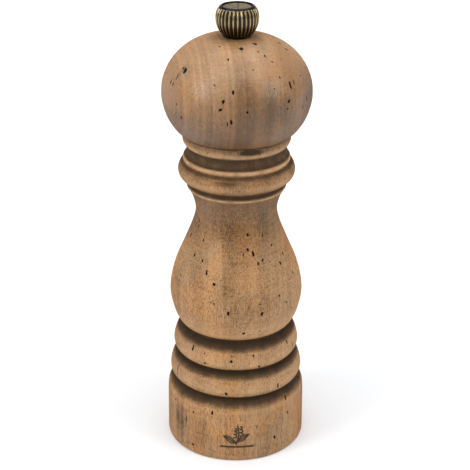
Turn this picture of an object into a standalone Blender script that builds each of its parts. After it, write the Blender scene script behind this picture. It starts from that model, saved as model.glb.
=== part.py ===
"""Classic turned-wood pepper mill with a fluted brass adjusting knob, 180 mm tall.

The mill is built as it comes apart on a bench. The wooden body holds a toothed burr ring, a bridge and a
retaining bar. The wooden head sits on the body's collar and turns a square shaft through a square-holed plate.
The shaft carries the grinding cone, which a spring presses down and the fluted knob pulls up.

Sizes are in millimetres and are turned into metres by MM. The frame has +Z up, with its origin at the centre
of the foot, on the surface that the mill stands on.
"""

import math

import bmesh
import bpy
from mathutils import Matrix, Vector

MM = 0.001
GAP = 0.3  # clearance between pieces that touch
AROUND = 32  # sides of the large turned pieces
AROUND_SMALL = 20  # sides of the small turned pieces

# ---- Driving dimensions -------------------------------------------------------------------------------------
MILL_HEIGHT = 180.0
FOOT_RADIUS = 28.0
BODY_TOP = 131.3  # top face of the collar that the head sits on

# Bores of the body, from the foot upwards.
RECESS_RADIUS, RECESS_TOP = 23.5, 4.8  # shallow recess for the retaining bar
RING_SEAT_RADIUS, RING_SEAT_TOP = 17.0, 18.2  # seat of the burr ring
BRIDGE_BORE_RADIUS, BRIDGE_BORE_TOP = 15.3, 36.0  # room for the bridge
RESERVOIR_RADIUS = 11.6  # peppercorn reservoir, up to the mouth

# Outline of the body: (greatest radius, its height, groove above: radius, height) for each shoulder.
BASE_SHOULDER = (27.85, 19.8, 24.2, 27.6)
LOWER_BAND = (26.62, 31.2, 22.7, 39.0)
UPPER_BAND = (25.12, 43.0, 20.6, 50.8)
BAND_EDGE_IN = 1.3  # how far a band's lower edge curls in

# Outline of the head.
HEAD_RADIUS, HEAD_WAIST = 28.5, 147.3
HEAD_RISE, HEAD_DROP = 22.3, 24.5  # semi-axes of the ball above and below its waist
HEAD_BOTTOM = BODY_TOP + GAP
HEAD_SEAT = 168.2  # flat on top, under the knob
TENON_RADIUS, TENON_BOTTOM = 11.2, 117.5
HEAD_BORE = 4.3

# Knob.
KNOB_RADIUS, KNOB_CENTRE = 8.1, 175.3
KNOB_FOOT = HEAD_SEAT + GAP
KNOB_RIM = 6.2
FLUTES = 30
FLUTE_DEPTH = 0.35

# Square shaft.
SHAFT_SIDE = 4.6
SQUARE_HOLE = SHAFT_SIDE + 2 * GAP
THREAD_RADIUS = 2.4
JOURNAL_RADIUS = 2.1
SHAFT_BOTTOM, SQUARE_BOTTOM, SQUARE_TOP, SHAFT_TOP = 2.2, 6.9, 148.0, 176.4

# Mill works.
RING_RADIUS, RING_BOTTOM, RING_TOP = 16.6, 5.1, 16.4
CONE_BOTTOM, CONE_TOP = 7.0, 21.6
RING_TEETH, CONE_TEETH = 24, 24
SHEET = 1.2  # thickness of the pressed steel pieces
BRIDGE_WIDTH, BRIDGE_DECK_TOP, BRIDGE_LEG = 12.4, 33.4, 13.2
BUSH_HUB, BUSH_FLANGE, BUSH_FLANGE_THICK = 4.6, 6.4, 1.0
BAR_LENGTH, BAR_WIDTH, BAR_SCREW_AT = 45.0, 10.0, 20.0
BAR_TOP = RECESS_TOP - GAP
PLATE_RADIUS, PLATE_SCREW_AT = 9.8, 7.0
SPRING_MEAN, SPRING_WIRE, SPRING_TURNS = 5.0, 0.9, 4.5

# ---- Finishes: colour, roughness, metallic ------------------------------------------------------------------
FINISHES = {
    "stained_beech": ((0.42, 0.26, 0.14), 0.55, 0.0),
    "antique_brass": ((0.32, 0.25, 0.14), 0.35, 1.0),
    "brass": ((0.66, 0.50, 0.22), 0.30, 1.0),
    "zinc_steel": ((0.62, 0.62, 0.60), 0.35, 1.0),
    "hardened_steel": ((0.16, 0.15, 0.15), 0.45, 1.0),
    "spring_steel": ((0.45, 0.45, 0.46), 0.30, 1.0),
}


# ---- Scene helpers ------------------------------------------------------------------------------------------
def clear_scene():
    for item in list(bpy.data.objects):
        bpy.data.objects.remove(item)


def new_collection(name):
    collection = bpy.data.collections.new(name)
    bpy.context.scene.collection.children.link(collection)
    return collection


def finish(name):
    """The named finish as a Principled BSDF material, made once."""
    found = bpy.data.materials.get(name)
    if found:
        return found
    colour, roughness, metallic = FINISHES[name]
    material = bpy.data.materials.new(name)
    material.use_nodes = True
    shader = material.node_tree.nodes["Principled BSDF"]
    shader.inputs["Base Color"].default_value = (*colour, 1.0)
    shader.inputs["Roughness"].default_value = roughness
    shader.inputs["Metallic"].default_value = metallic
    return material


def place(name, data, collection, material=None):
    """A new object with this data, linked to the collection."""
    item = bpy.data.objects.new(name, data)
    collection.objects.link(item)
    if material:
        data.materials.append(finish(material))
    return item


def as_mesh(item):
    """The object with its modifiers, or its curve, made a plain mesh with no doubled points."""
    graph = bpy.context.evaluated_depsgraph_get()
    mesh = bpy.data.meshes.new_from_object(item.evaluated_get(graph))
    work = bmesh.new()
    work.from_mesh(mesh)
    bmesh.ops.remove_doubles(work, verts=work.verts, dist=1e-6)
    work.to_mesh(mesh)
    work.free()
    collection = item.users_collection[0]
    name, matrix = item.name, item.matrix_world.copy()
    bpy.data.objects.remove(item)
    made = bpy.data.objects.new(name, mesh)
    made.matrix_world = matrix
    collection.objects.link(made)
    return made


def smooth(item, angle=35.0):
    item.data.shade_smooth()
    item.data.set_sharp_from_angle(angle=math.radians(angle))
    return item


# ---- Shape helpers ------------------------------------------------------------------------------------------
def turned(name, outline, steps, collection, material=None, closed=False):
    """A solid turned about Z. The outline is (radius, height) in mm, top to bottom on its outer side. A closed
    outline is the section of a ring; an open one starts and ends on the axis."""
    mesh = bpy.data.meshes.new(name)
    count = len(outline)
    edges = [(i, i + 1) for i in range(count - 1)]
    if closed:
        edges.append((count - 1, 0))
    mesh.from_pydata([(r * MM, 0.0, z * MM) for r, z in outline], edges, [])
    item = place(name, mesh, collection, material)
    screw = item.modifiers.new("Turn", "SCREW")
    screw.steps = screw.render_steps = steps
    screw.use_merge_vertices = True
    screw.merge_threshold = 1e-5
    item = as_mesh(item)
    return smooth(item)


def box(name, size, centre, collection, material=None):
    """A rectangular block, both given in mm."""
    work = bmesh.new()
    bmesh.ops.create_cube(work, size=1.0, matrix=Matrix.Diagonal((*[s * MM for s in size], 1.0)))
    mesh = bpy.data.meshes.new(name)
    work.to_mesh(mesh)
    work.free()
    item = place(name, mesh, collection, material)
    item.location = Vector(centre) * MM
    return item


def rod(name, radius, low, high, collection, at=(0.0, 0.0), steps=AROUND_SMALL):
    """A round bar along Z between two heights, in mm."""
    work = bmesh.new()
    bmesh.ops.create_cone(
        work, cap_ends=True, segments=steps, radius1=radius * MM, radius2=radius * MM, depth=(high - low) * MM
    )
    mesh = bpy.data.meshes.new(name)
    work.to_mesh(mesh)
    work.free()
    item = place(name, mesh, collection)
    item.location = Vector((at[0], at[1], (low + high) / 2)) * MM
    return item


def combine(item, other, operation):
    """Adds a Boolean of the other object, which becomes a hidden helper."""
    boolean = item.modifiers.new(operation.title(), "BOOLEAN")
    boolean.operation = operation
    boolean.object = other
    other.hide_render = True
    other.display_type = "WIRE"
    return item


def cut(item, *cutters):
    for cutter in cutters:
        combine(item, cutter, "DIFFERENCE")
    return item


def arc(centre, semi_axes, start, end, count):
    """Points along an ellipse from one angle to another, in degrees from the outward direction."""
    angles = [math.radians(start + (end - start) * i / (count - 1)) for i in range(count)]
    return [
        (centre[0] + semi_axes[0] * math.cos(a), centre[1] + semi_axes[1] * math.sin(a)) for a in angles
    ]


def flowing(points, per_span):
    """A smooth Catmull-Rom curve through the points."""
    ends = [points[0], *points, points[-1]]
    curve = []
    for before, start, end, after in zip(ends, ends[1:], ends[2:], ends[3:]):
        for step in range(per_span):
            t = step / per_span
            curve.append(
                tuple(
                    0.5
                    * (
                        2 * s
                        + (e - b) * t
                        + (2 * b - 5 * s + 4 * e - a) * t * t
                        + (3 * s - b - 3 * e + a) * t**3
                    )
                    for b, s, e, a in zip(before, start, end, after)
                )
            )
    return [*curve, points[-1]]


def toothed(item, radial_shift):
    """Moves each vertex in or out by radial_shift(angle, radius, height), in mm."""
    for vertex in item.data.vertices:
        x, y, z = (c / MM for c in vertex.co)
        radius = math.hypot(x, y)
        if radius < 1e-6:
            continue
        factor = 1.0 + radial_shift(math.atan2(y, x), radius, z) / radius
        vertex.co.x *= factor
        vertex.co.y *= factor
    return item


def zigzag(angle, count):
    """0 and 1 by turns on neighbouring meridians of a piece with 2 * count sides."""
    return round(angle * count / math.pi) % 2


# ---- Wooden body --------------------------------------------------------------------------------------------
def shoulder(greatest, height, groove_radius, groove_height, count=6):
    """The slope from a groove down and out to a band's greatest radius, a quarter of an ellipse."""
    return arc(
        (groove_radius, height), (greatest - groove_radius, groove_height - height), 90.0, 0.0, count
    )


def band_edge(greatest, height, groove_height, count=4):
    """The lower edge of a band, curling in from its greatest radius towards the groove under it."""
    low = groove_height + 0.4
    return arc((greatest - BAND_EDGE_IN, height), (BAND_EDGE_IN, height - low), -30.0, -90.0, count - 1)


def body_outline():
    """Outer side of the body, from the collar down to the foot."""
    collar = [(20.2, BODY_TOP), (20.8, 130.8), (20.8, 129.2), (20.5, 128.1), (19.9, 127.3)]
    cove = [(19.3, 125.9), (19.2, 124.5), (19.5, 123.2)]
    lip = [(20.5, 122.0), (20.75, 121.4), (20.4, 120.6)]
    ring = arc((19.4, 116.2), (3.2, 4.2), 68.0, -62.0, 8)
    neck_groove = [(19.5, 111.8), (20.4, 110.9)]
    neck_and_bulb = flowing(
        [(20.3, 110.5), (17.8, 107.2), (15.9, 100.0), (18.6, 90.4), (24.1, 76.6), (26.35, 65.9), (24.8, 57.3)],
        2,
    )
    bulb_foot = [(23.4, 53.7), (22.2, 51.7)]
    bands = [
        *shoulder(*UPPER_BAND),
        *band_edge(*UPPER_BAND[:2], LOWER_BAND[3]),
        *shoulder(*LOWER_BAND),
        *band_edge(*LOWER_BAND[:2], BASE_SHOULDER[3]),
        *shoulder(*BASE_SHOULDER),
    ]
    foot = [(FOOT_RADIUS, 1.0), (27.7, 0.3), (27.1, 0.0)]
    return [*collar, *cove, *lip, *ring, *neck_groove, *neck_and_bulb, *bulb_foot, *bands, *foot]


def body_bores():
    """Inner side of the body, from the foot up to the mouth."""
    return [
        (RECESS_RADIUS, 0.0),
        (RECESS_RADIUS, RECESS_TOP),
        (RING_SEAT_RADIUS, RECESS_TOP),
        (RING_SEAT_RADIUS, RING_SEAT_TOP),
        (BRIDGE_BORE_RADIUS, RING_SEAT_TOP),
        (BRIDGE_BORE_RADIUS, BRIDGE_BORE_TOP),
        (RESERVOIR_RADIUS, BRIDGE_BORE_TOP + 3.0),
        (RESERVOIR_RADIUS, BODY_TOP - 0.6),
        (RESERVOIR_RADIUS + 0.6, BODY_TOP),
    ]


def make_body(parts, cutters):
    body = turned("body", body_outline() + body_bores(), AROUND, parts, "stained_beech", closed=True)
    for side in (-1, 1):
        pilot = rod(
            f"bar_pilot_{side}", 1.5, RECESS_TOP - 1.0, RECESS_TOP + 12.5, cutters, (side * BAR_SCREW_AT, 0.0), 12
        )
        cut(body, pilot)
    return body


# ---- Wooden head and what is fixed to it --------------------------------------------------------------------
def make_head(parts, cutters):
    ball = [
        (5.0, HEAD_SEAT),
        *arc((0.0, HEAD_WAIST), (HEAD_RADIUS, HEAD_RISE), 69.5, 0.0, 11),
        *arc((0.0, HEAD_WAIST), (HEAD_RADIUS, HEAD_DROP), -8.0, -39.0, 5),
        (21.5, HEAD_BOTTOM),
    ]
    tenon = [
        (TENON_RADIUS, HEAD_BOTTOM),
        (TENON_RADIUS, TENON_BOTTOM + 0.8),
        (TENON_RADIUS - 0.8, TENON_BOTTOM),
    ]
    washer_recess = HEAD_SEAT - 0.9
    bore = [(HEAD_BORE, TENON_BOTTOM), (HEAD_BORE, washer_recess), (5.0, washer_recess)]
    head = turned("head", ball + tenon + bore, AROUND, parts, "stained_beech", closed=True)
    for side in (-1, 1):
        pilot = rod(
            f"plate_pilot_{side}", 1.4, TENON_BOTTOM - 1.0, TENON_BOTTOM + 8.0, cutters, (side * PLATE_SCREW_AT, 0.0), 12
        )
        cut(head, pilot)
    return head


def washer(name, outer, inner, low, thick, parts, material, steps=AROUND_SMALL):
    section = [(outer, low + thick), (outer, low), (inner, low), (inner, low + thick)]
    return turned(name, section, steps, parts, material, closed=True)


def make_drive_plate(parts, cutters):
    """Round steel plate with a square hole, screwed under the tenon. It turns the shaft."""
    top = TENON_BOTTOM - GAP
    plate = rod("drive_plate", PLATE_RADIUS, top - SHEET, top, parts, steps=32)
    plate.data.materials.append(finish("zinc_steel"))
    cut(plate, box("plate_square", (SQUARE_HOLE, SQUARE_HOLE, 4.0), (0, 0, top - SHEET / 2), cutters))
    for side in (-1, 1):
        cut(plate, rod(f"plate_hole_{side}", 1.4, top - 3.0, top + 1.0, cutters, (side * PLATE_SCREW_AT, 0.0), 12))
    return plate


def wood_screw(name, at, under, length, parts, cutters, head=2.4, shank=1.1):
    """Pan-head wood screw driven upwards. Its head's flat side is at height under."""
    outline = [
        (0.0, under + length),
        (shank * 0.6, under + length - 1.6),
        (shank, under + length - 2.6),
        (shank, under),
        (head, under),
        (head, under - 0.6),
        (head * 0.7, under - 1.3),
        (0.0, under - 1.4),
    ]
    screw = turned(name, outline, 12, parts, "zinc_steel")
    screw.location.x = at * MM
    for turn, along in enumerate(((head * 1.3, 0.5), (0.5, head * 1.3))):
        slot = box(f"{name}_slot_{turn}", (*along, 1.0), (at, 0, under - 1.3), cutters)
        cut(screw, slot)
    return screw


# ---- Knob ---------------------------------------------------------------------------------------------------
def flute_shift(angle, radius, height):
    """Flutes run from the foot to just under the rim, and fade out at both ends."""
    share = (height - KNOB_FOOT) / (MILL_HEIGHT - 1.6 - KNOB_FOOT)
    if radius < 4.35 or not 0.02 < share < 1.0:
        return 0.0
    depth = FLUTE_DEPTH * min(1.0, 6.0 * share, 6.0 * (1.0 - share))
    return -depth * zigzag(angle, FLUTES)


def make_knob(parts):
    foot_angle = math.degrees(math.asin((KNOB_FOOT - KNOB_CENTRE) / KNOB_RADIUS))
    rim_angle = math.degrees(math.asin((MILL_HEIGHT - 0.9 - KNOB_CENTRE) / KNOB_RADIUS))
    cap_seat = MILL_HEIGHT - 1.4
    insert_seat = KNOB_FOOT + 1.0
    outline = [
        (KNOB_RIM - 0.5, MILL_HEIGHT - 0.1),
        (KNOB_RIM, MILL_HEIGHT),
        *arc((0.0, KNOB_CENTRE), (KNOB_RADIUS, KNOB_RADIUS), rim_angle, foot_angle, 11),
        (3.0, KNOB_FOOT),
        (3.0, insert_seat),
        (4.2, insert_seat),
        (4.2, cap_seat),
        (KNOB_RIM - 0.5, cap_seat),
    ]
    knob = turned("knob", outline, 2 * FLUTES, parts, "antique_brass", closed=True)
    return smooth(toothed(knob, flute_shift), 30.0)


def make_knob_cap(parts):
    """Dished disc that closes the knob's top."""
    low = MILL_HEIGHT - 1.4 + GAP
    radius = KNOB_RIM - 0.5 - GAP
    outline = [(0.0, low + 0.55), (2.4, low + 0.62), (radius - 0.5, low + 0.95), (radius, low + 0.8)]
    return turned("knob_cap", [*outline, (radius, low), (0.0, low)], 30, parts, "antique_brass")


def make_knob_insert(parts):
    """Brass nut pressed into the knob. It runs on the shaft's thread."""
    low = KNOB_FOOT + 1.0 + GAP
    return washer("knob_insert", 3.9, THREAD_RADIUS + GAP, low, 7.2, parts, "brass")


# ---- Shaft and what turns with it ---------------------------------------------------------------------------
def make_shaft(parts, cutters):
    """Square rod, threaded at the top and turned to a journal with a clip groove at the bottom."""
    clip_groove = SQUARE_BOTTOM - 1.1
    core_radius = SHAFT_SIDE / 2 - 0.5
    core = [
        (0.0, SHAFT_TOP),
        (THREAD_RADIUS - 0.5, SHAFT_TOP),
        (THREAD_RADIUS, SHAFT_TOP - 0.5),
        (THREAD_RADIUS, SQUARE_TOP - 0.5),
        (core_radius, SQUARE_TOP - 2.5),
        (core_radius, SQUARE_BOTTOM + 2.5),
        (JOURNAL_RADIUS, SQUARE_BOTTOM + 1.0),
        (JOURNAL_RADIUS, clip_groove + 0.7),
        (JOURNAL_RADIUS - 0.4, clip_groove + 0.7),
        (JOURNAL_RADIUS - 0.4, clip_groove - 0.7),
        (JOURNAL_RADIUS, clip_groove - 0.7),
        (JOURNAL_RADIUS, SHAFT_BOTTOM + 0.5),
        (JOURNAL_RADIUS - 0.5, SHAFT_BOTTOM),
        (0.0, SHAFT_BOTTOM),
    ]
    shaft = turned("drive_shaft", core, 16, parts, "zinc_steel")
    middle = (SQUARE_BOTTOM + SQUARE_TOP) / 2
    square = box("shaft_square", (SHAFT_SIDE, SHAFT_SIDE, SQUARE_TOP - SQUARE_BOTTOM), (0, 0, middle), cutters)
    return combine(shaft, square, "UNION")


def cone_shift(angle, radius, height):
    """Fine teeth round the cone's skirt, and six helical ridges that feed the corns down on its neck."""
    if radius < 6.0 or height < CONE_BOTTOM + 0.1 or height > CONE_TOP - 1.5:
        return 0.0
    if height < 12.0:
        return -0.6 * zigzag(angle, CONE_TEETH)
    ridge = math.cos(6.0 * angle - 0.55 * (height - 12.0))
    return -0.8 + 0.8 * ridge


def make_cone(parts, cutters):
    """Toothed steel cone on the square shaft: it grinds against the burr ring."""
    outline = [
        (0.0, CONE_TOP),
        (6.6, CONE_TOP),
        (6.9, CONE_TOP - 0.8),
        (7.6, 18.4),
        (8.5, 15.9),
        (9.4, 13.4),
        (10.1, 11.2),
        (10.7, 9.2),
        (11.4, CONE_BOTTOM + 0.5),
        (11.4, CONE_BOTTOM),
        (0.0, CONE_BOTTOM),
    ]
    cone = toothed(turned("grinding_cone", outline, 2 * CONE_TEETH, parts, "hardened_steel"), cone_shift)
    hole = box("cone_square", (SQUARE_HOLE, SQUARE_HOLE, 30.0), (0, 0, 14.0), cutters)
    return cut(smooth(cone, 20.0), hole)


def make_clip(parts):
    """Open retaining clip in the shaft's groove, under the cone."""
    outer, inner, opening = 4.2, JOURNAL_RADIUS - 0.1, 32.0
    middle = SQUARE_BOTTOM - 1.1
    curve = bpy.data.curves.new("cone_clip", "CURVE")
    curve.dimensions = "2D"
    curve.fill_mode = "BOTH"
    curve.extrude = 0.4 * MM
    points = arc((0, 0), (outer, outer), opening, 360 - opening, 17)
    points += arc((0, 0), (inner, inner), 360 - opening, opening, 17)
    spline = curve.splines.new("POLY")
    spline.points.add(len(points) - 1)
    spline.use_cyclic_u = True
    for point, (x, y) in zip(spline.points, points):
        point.co = (x * MM, y * MM, 0.0, 1.0)
    item = place("cone_clip", curve, parts, "spring_steel")
    item.location.z = middle * MM
    return item


def make_bush(parts, cutters):
    """Keyed brass bush. It turns with the square shaft in the bridge's hole, and seats the spring."""
    deck_bottom = BRIDGE_DECK_TOP - SHEET
    flange_top = deck_bottom - GAP
    outline = [
        (0.0, BRIDGE_DECK_TOP + 0.8),
        (BUSH_HUB, BRIDGE_DECK_TOP + 0.8),
        (BUSH_HUB, flange_top),
        (BUSH_FLANGE, flange_top),
        (BUSH_FLANGE, flange_top - BUSH_FLANGE_THICK),
        (0.0, flange_top - BUSH_FLANGE_THICK),
    ]
    bush = turned("shaft_bush", outline, AROUND_SMALL, parts, "brass")
    hole = box("bush_square", (SQUARE_HOLE, SQUARE_HOLE, 12.0), (0, 0, deck_bottom), cutters)
    return cut(bush, hole)


def make_spring(parts):
    """Compression spring between the bush's flange and the cone's washer, with close end turns."""
    wire = SPRING_WIRE / 2
    low = CONE_TOP + GAP + 0.6 + GAP + wire
    high = BRIDGE_DECK_TOP - SHEET - GAP - BUSH_FLANGE_THICK - GAP - wire
    per_turn = 12
    count = int(SPRING_TURNS * per_turn)
    curve = bpy.data.curves.new("spring", "CURVE")
    curve.dimensions = "3D"
    curve.bevel_depth = wire * MM
    curve.bevel_resolution = 1
    curve.use_fill_caps = True
    spline = curve.splines.new("POLY")
    spline.points.add(count)
    for i, point in enumerate(spline.points):
        share = i / count
        # The ends rise slowly and the middle steeply: a smooth step mixed with a straight rise.
        rise = 0.65 * share + 0.35 * share * share * (3 - 2 * share)
        angle = 2 * math.pi * SPRING_TURNS * share
        x, y = SPRING_MEAN * math.cos(angle), SPRING_MEAN * math.sin(angle)
        point.co = (x * MM, y * MM, (low + (high - low) * rise) * MM, 1.0)
    return place("spring", curve, parts, "spring_steel")


# ---- Fixed mill works ---------------------------------------------------------------------------------------
def ring_shift(angle, radius, height):
    """Upright teeth on the burr ring's inner side only."""
    if radius > RING_RADIUS - 1.5 or height > RING_TOP - 0.5:
        return 0.0
    return 0.6 * zigzag(angle, RING_TEETH)


def make_burr_ring(parts):
    """Fixed toothed ring: wide at the top, narrowest at the waist, and flared again at the bottom."""
    inner = [(12.6, RING_BOTTOM), (12.0, 7.0), (11.4, 9.4), (11.8, 11.4), (12.8, 13.8), (13.9, RING_TOP)]
    outer = [(RING_RADIUS, RING_TOP), (RING_RADIUS, RING_BOTTOM)]
    ring = turned("burr_ring", outer + inner, 2 * RING_TEETH, parts, "hardened_steel", closed=True)
    return smooth(toothed(ring, ring_shift), 20.0)


def make_bridge(parts, cutters):
    """Pressed steel bridge. Its feet are clamped between the burr ring and the wood, and its deck holds the bush."""
    foot_out = 15.4
    foot_low = RING_TOP + GAP
    foot_high = foot_low + SHEET
    deck_low = BRIDGE_DECK_TOP - SHEET
    leg_in = BRIDGE_LEG - SHEET
    half = [
        (foot_out, foot_low),
        (foot_out, foot_high),
        (BRIDGE_LEG, foot_high),
        (BRIDGE_LEG, BRIDGE_DECK_TOP - 1.5),
        (BRIDGE_LEG - 1.5, BRIDGE_DECK_TOP),
    ]
    under = [(leg_in - 1.0, deck_low), (leg_in, deck_low - 1.0), (leg_in, foot_low)]
    outline = half + [(-x, z) for x, z in reversed(half)] + [(-x, z) for x, z in reversed(under)] + under
    curve = bpy.data.curves.new("bridge", "CURVE")
    curve.dimensions = "2D"
    curve.fill_mode = "BOTH"
    curve.extrude = BRIDGE_WIDTH / 2 * MM
    spline = curve.splines.new("POLY")
    spline.points.add(len(outline) - 1)
    spline.use_cyclic_u = True
    for point, (x, z) in zip(spline.points, outline):
        point.co = (x * MM, z * MM, 0.0, 1.0)
    bridge = place("bridge", curve, parts, "zinc_steel")
    bridge.rotation_euler.x = math.pi / 2
    bpy.context.view_layer.update()
    bridge = as_mesh(bridge)
    return cut(bridge, rod("bridge_hole", BUSH_HUB + GAP, deck_low - 2.0, BRIDGE_DECK_TOP + 2.0, cutters))


def make_retaining_bar(parts, cutters):
    """Flat steel bar screwed across the foot's recess. It holds the works in and guides the shaft's end."""
    bar = box(
        "retaining_bar", (BAR_LENGTH, BAR_WIDTH, SHEET), (0, 0, BAR_TOP - SHEET / 2), parts, "zinc_steel"
    )
    work = bmesh.new()
    work.from_mesh(bar.data)
    upright = [e for e in work.edges if abs(e.verts[0].co.z - e.verts[1].co.z) > 1e-5]
    bmesh.ops.bevel(work, geom=upright, offset=3.0 * MM, segments=3, affect="EDGES", profile=0.5)
    work.to_mesh(bar.data)
    work.free()
    cut(bar, rod("bar_bearing", JOURNAL_RADIUS + GAP, BAR_TOP - 3.0, BAR_TOP + 1.0, cutters))
    for side in (-1, 1):
        cut(bar, rod(f"bar_hole_{side}", 1.6, BAR_TOP - 3.0, BAR_TOP + 1.0, cutters, (side * BAR_SCREW_AT, 0.0), 12))
    return bar


def main():
    clear_scene()
    parts = new_collection("pepper_mill")
    cutters = new_collection("cutters")

    make_body(parts, cutters)
    make_burr_ring(parts)
    make_bridge(parts, cutters)
    make_retaining_bar(parts, cutters)
    for name, side in (("left", -1), ("right", 1)):
        under_bar = BAR_TOP - SHEET - GAP
        wood_screw(f"bar_screw_{name}", side * BAR_SCREW_AT, under_bar, 13.0, parts, cutters)

    make_head(parts, cutters)
    washer("head_washer", 4.7, 2.9, HEAD_SEAT - 0.9 + GAP, 0.6, parts, "brass")
    make_drive_plate(parts, cutters)
    for name, side in (("left", -1), ("right", 1)):
        under_plate = TENON_BOTTOM - GAP - SHEET - GAP
        wood_screw(f"plate_screw_{name}", side * PLATE_SCREW_AT, under_plate, 9.0, parts, cutters, 2.2, 1.0)

    make_knob(parts)
    make_knob_cap(parts)
    make_knob_insert(parts)

    make_shaft(parts, cutters)
    make_cone(parts, cutters)
    make_clip(parts)
    washer("spring_washer", 6.2, 4.0, CONE_TOP + GAP, 0.6, parts, "zinc_steel")
    make_bush(parts, cutters)
    make_spring(parts)


main()
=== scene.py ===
"""Antique beech pepper mill with a fluted brass adjusting knob, dressed over its packed mechanical frame.

The wooden body, the ball head, the knob and its cap are turned again here as fine surfaces with their mouldings,
stains and wear. So are the burrs, the shaft, the spring, the drive plate, the retaining bar and the screws. The
bridge, bush, washers, clip and nut keep the frame's shapes, and all the works get metal finishes.
Lengths in the classes are in millimetres, and MM turns them into metres.
"""

import logging
import math
from dataclasses import dataclass, field
from enum import Enum

import bmesh
import bpy
import numpy as np
from mathutils import Matrix, Vector

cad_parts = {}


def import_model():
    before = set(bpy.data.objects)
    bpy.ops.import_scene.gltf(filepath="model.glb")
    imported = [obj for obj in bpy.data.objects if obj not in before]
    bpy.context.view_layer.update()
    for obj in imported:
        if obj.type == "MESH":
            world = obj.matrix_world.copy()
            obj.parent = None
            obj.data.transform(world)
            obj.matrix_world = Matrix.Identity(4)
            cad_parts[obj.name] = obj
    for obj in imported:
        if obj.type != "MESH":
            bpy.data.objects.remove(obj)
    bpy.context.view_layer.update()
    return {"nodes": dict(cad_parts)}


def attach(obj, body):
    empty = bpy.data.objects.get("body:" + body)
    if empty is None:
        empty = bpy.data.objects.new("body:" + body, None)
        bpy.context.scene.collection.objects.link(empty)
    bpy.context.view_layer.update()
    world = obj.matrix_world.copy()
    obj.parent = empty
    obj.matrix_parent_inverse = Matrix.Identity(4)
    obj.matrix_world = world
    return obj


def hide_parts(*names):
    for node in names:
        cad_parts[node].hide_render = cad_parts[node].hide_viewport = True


MM = 0.001
LOG = logging.getLogger("pepper_mill")

Colour = tuple[float, float, float]
Point = tuple[float, float]
Hole = tuple[float, float, float, float]
Patch = tuple[float, float, float, float, float]
Sockets = dict[str, bpy.types.NodeSocket]


# ---- Shader wiring ------------------------------------------------------------------------------------------
class Wiring:
    """Adds and joins the nodes of one shader tree."""

    def __init__(self, tree: bpy.types.NodeTree) -> None:
        """Takes the tree that the nodes go into."""
        self.tree = tree

    def feed(self, socket: bpy.types.NodeSocket, value: object) -> None:
        """Gives a socket a fixed value, or joins another node's output to it.

        Args:
            socket: the input to feed.
            value: an output socket, a number, a tuple, or None to leave the socket as it is.
        """
        if isinstance(value, bpy.types.NodeSocket):
            self.tree.links.new(value, socket)
        elif value is not None:
            size = len(socket.default_value) if hasattr(socket.default_value, "__len__") else 0
            socket.default_value = (*value, 1.0) if size == 4 and len(value) == 3 else value

    def add(self, kind: str, inputs: dict[int | str, object] | None = None, **settings: object) -> bpy.types.Node:
        """Adds a node.

        Args:
            kind: the node's type name without its ShaderNode prefix.
            inputs: what each input gets, by index or name.
            settings: the node's own properties.

        Returns:
            The new node.
        """
        node = self.tree.nodes.new("ShaderNode" + kind)
        for name, value in settings.items():
            setattr(node, name, value)
        for key, value in (inputs or {}).items():
            self.feed(node.inputs[key], value)
        return node

    def math(self, operation: str, a: object, b: object = None, c: object = None) -> bpy.types.NodeSocket:
        """One Math node. Returns its output socket."""
        return self.add("Math", {0: a, 1: b, 2: c}, operation=operation).outputs[0]

    def vector(self, operation: str, a: object, b: object = None, scale: object = None) -> bpy.types.NodeSocket:
        """One Vector Math node. Returns its vector output, or its value output for a length."""
        node = self.add("VectorMath", {0: a, 1: b, 3: scale}, operation=operation)
        return node.outputs[1 if operation == "LENGTH" else 0]

    def mix(self, share: object, a: object, b: object, blend: str = "MIX") -> bpy.types.NodeSocket:
        """Mixes two colours. Returns the colour output."""
        node = self.add("Mix", {0: share, 6: a, 7: b}, data_type="RGBA", blend_type=blend)
        return node.outputs[2]

    def tinted(self, colour: object, tint: Colour, share: object) -> bpy.types.NodeSocket:
        """Multiplies a colour by a tint, by a share of 0 to 1. Returns the colour output."""
        return self.mix(share, colour, self.mix(1.0, colour, tint, "MULTIPLY"))

    def step(
        self, value: object, low: float, high: float, start: float = 0.0, end: float = 1.0
    ) -> bpy.types.NodeSocket:
        """A soft step of the value from start to end between low and high. Returns the output socket."""
        inputs = {0: value, 1: low, 2: high, 3: start, 4: end}
        return self.add("MapRange", inputs, interpolation_type="SMOOTHSTEP").outputs[0]

    def noise(
        self, position: object, scale: float, detail: float = 2.0, roughness: float = 0.5, colour: bool = False
    ) -> bpy.types.NodeSocket:
        """Three-dimensional noise. Returns its value output, or its colour output."""
        inputs = {"Vector": position, "Scale": scale, "Detail": detail, "Roughness": roughness}
        return self.add("TexNoise", inputs).outputs[1 if colour else 0]

    def line_noise(self, along: object, scale: float, detail: float = 2.0) -> bpy.types.NodeSocket:
        """Noise that changes along one number only. Returns its value output."""
        inputs = {"W": along, "Scale": scale, "Detail": detail}
        return self.add("TexNoise", inputs, noise_dimensions="1D").outputs[0]

    def stretched(
        self, position: object, across: float, along: float, shift: Colour = (0.0, 0.0, 0.0)
    ) -> bpy.types.NodeSocket:
        """Scales a position across the grain and along it. Returns the vector output."""
        scaled = self.vector("MULTIPLY", position, (across, across, along))
        return self.vector("ADD", scaled, shift)

    def group(self, tree: bpy.types.NodeTree, inputs: dict[str, object]) -> bpy.types.Node:
        """Places a node group and feeds it.

        Args:
            tree: the finished group.
            inputs: what each of its inputs gets.

        Returns:
            The group's node.
        """
        node = self.tree.nodes.new("ShaderNodeGroup")
        node.node_tree = tree
        for key, value in inputs.items():
            self.feed(node.inputs[key], value)
        return node


class SocketKind(Enum):
    """The kinds of socket that a shared effect has."""

    NUMBER = "NodeSocketFloat"
    COLOUR = "NodeSocketColor"
    VECTOR = "NodeSocketVector"


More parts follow.
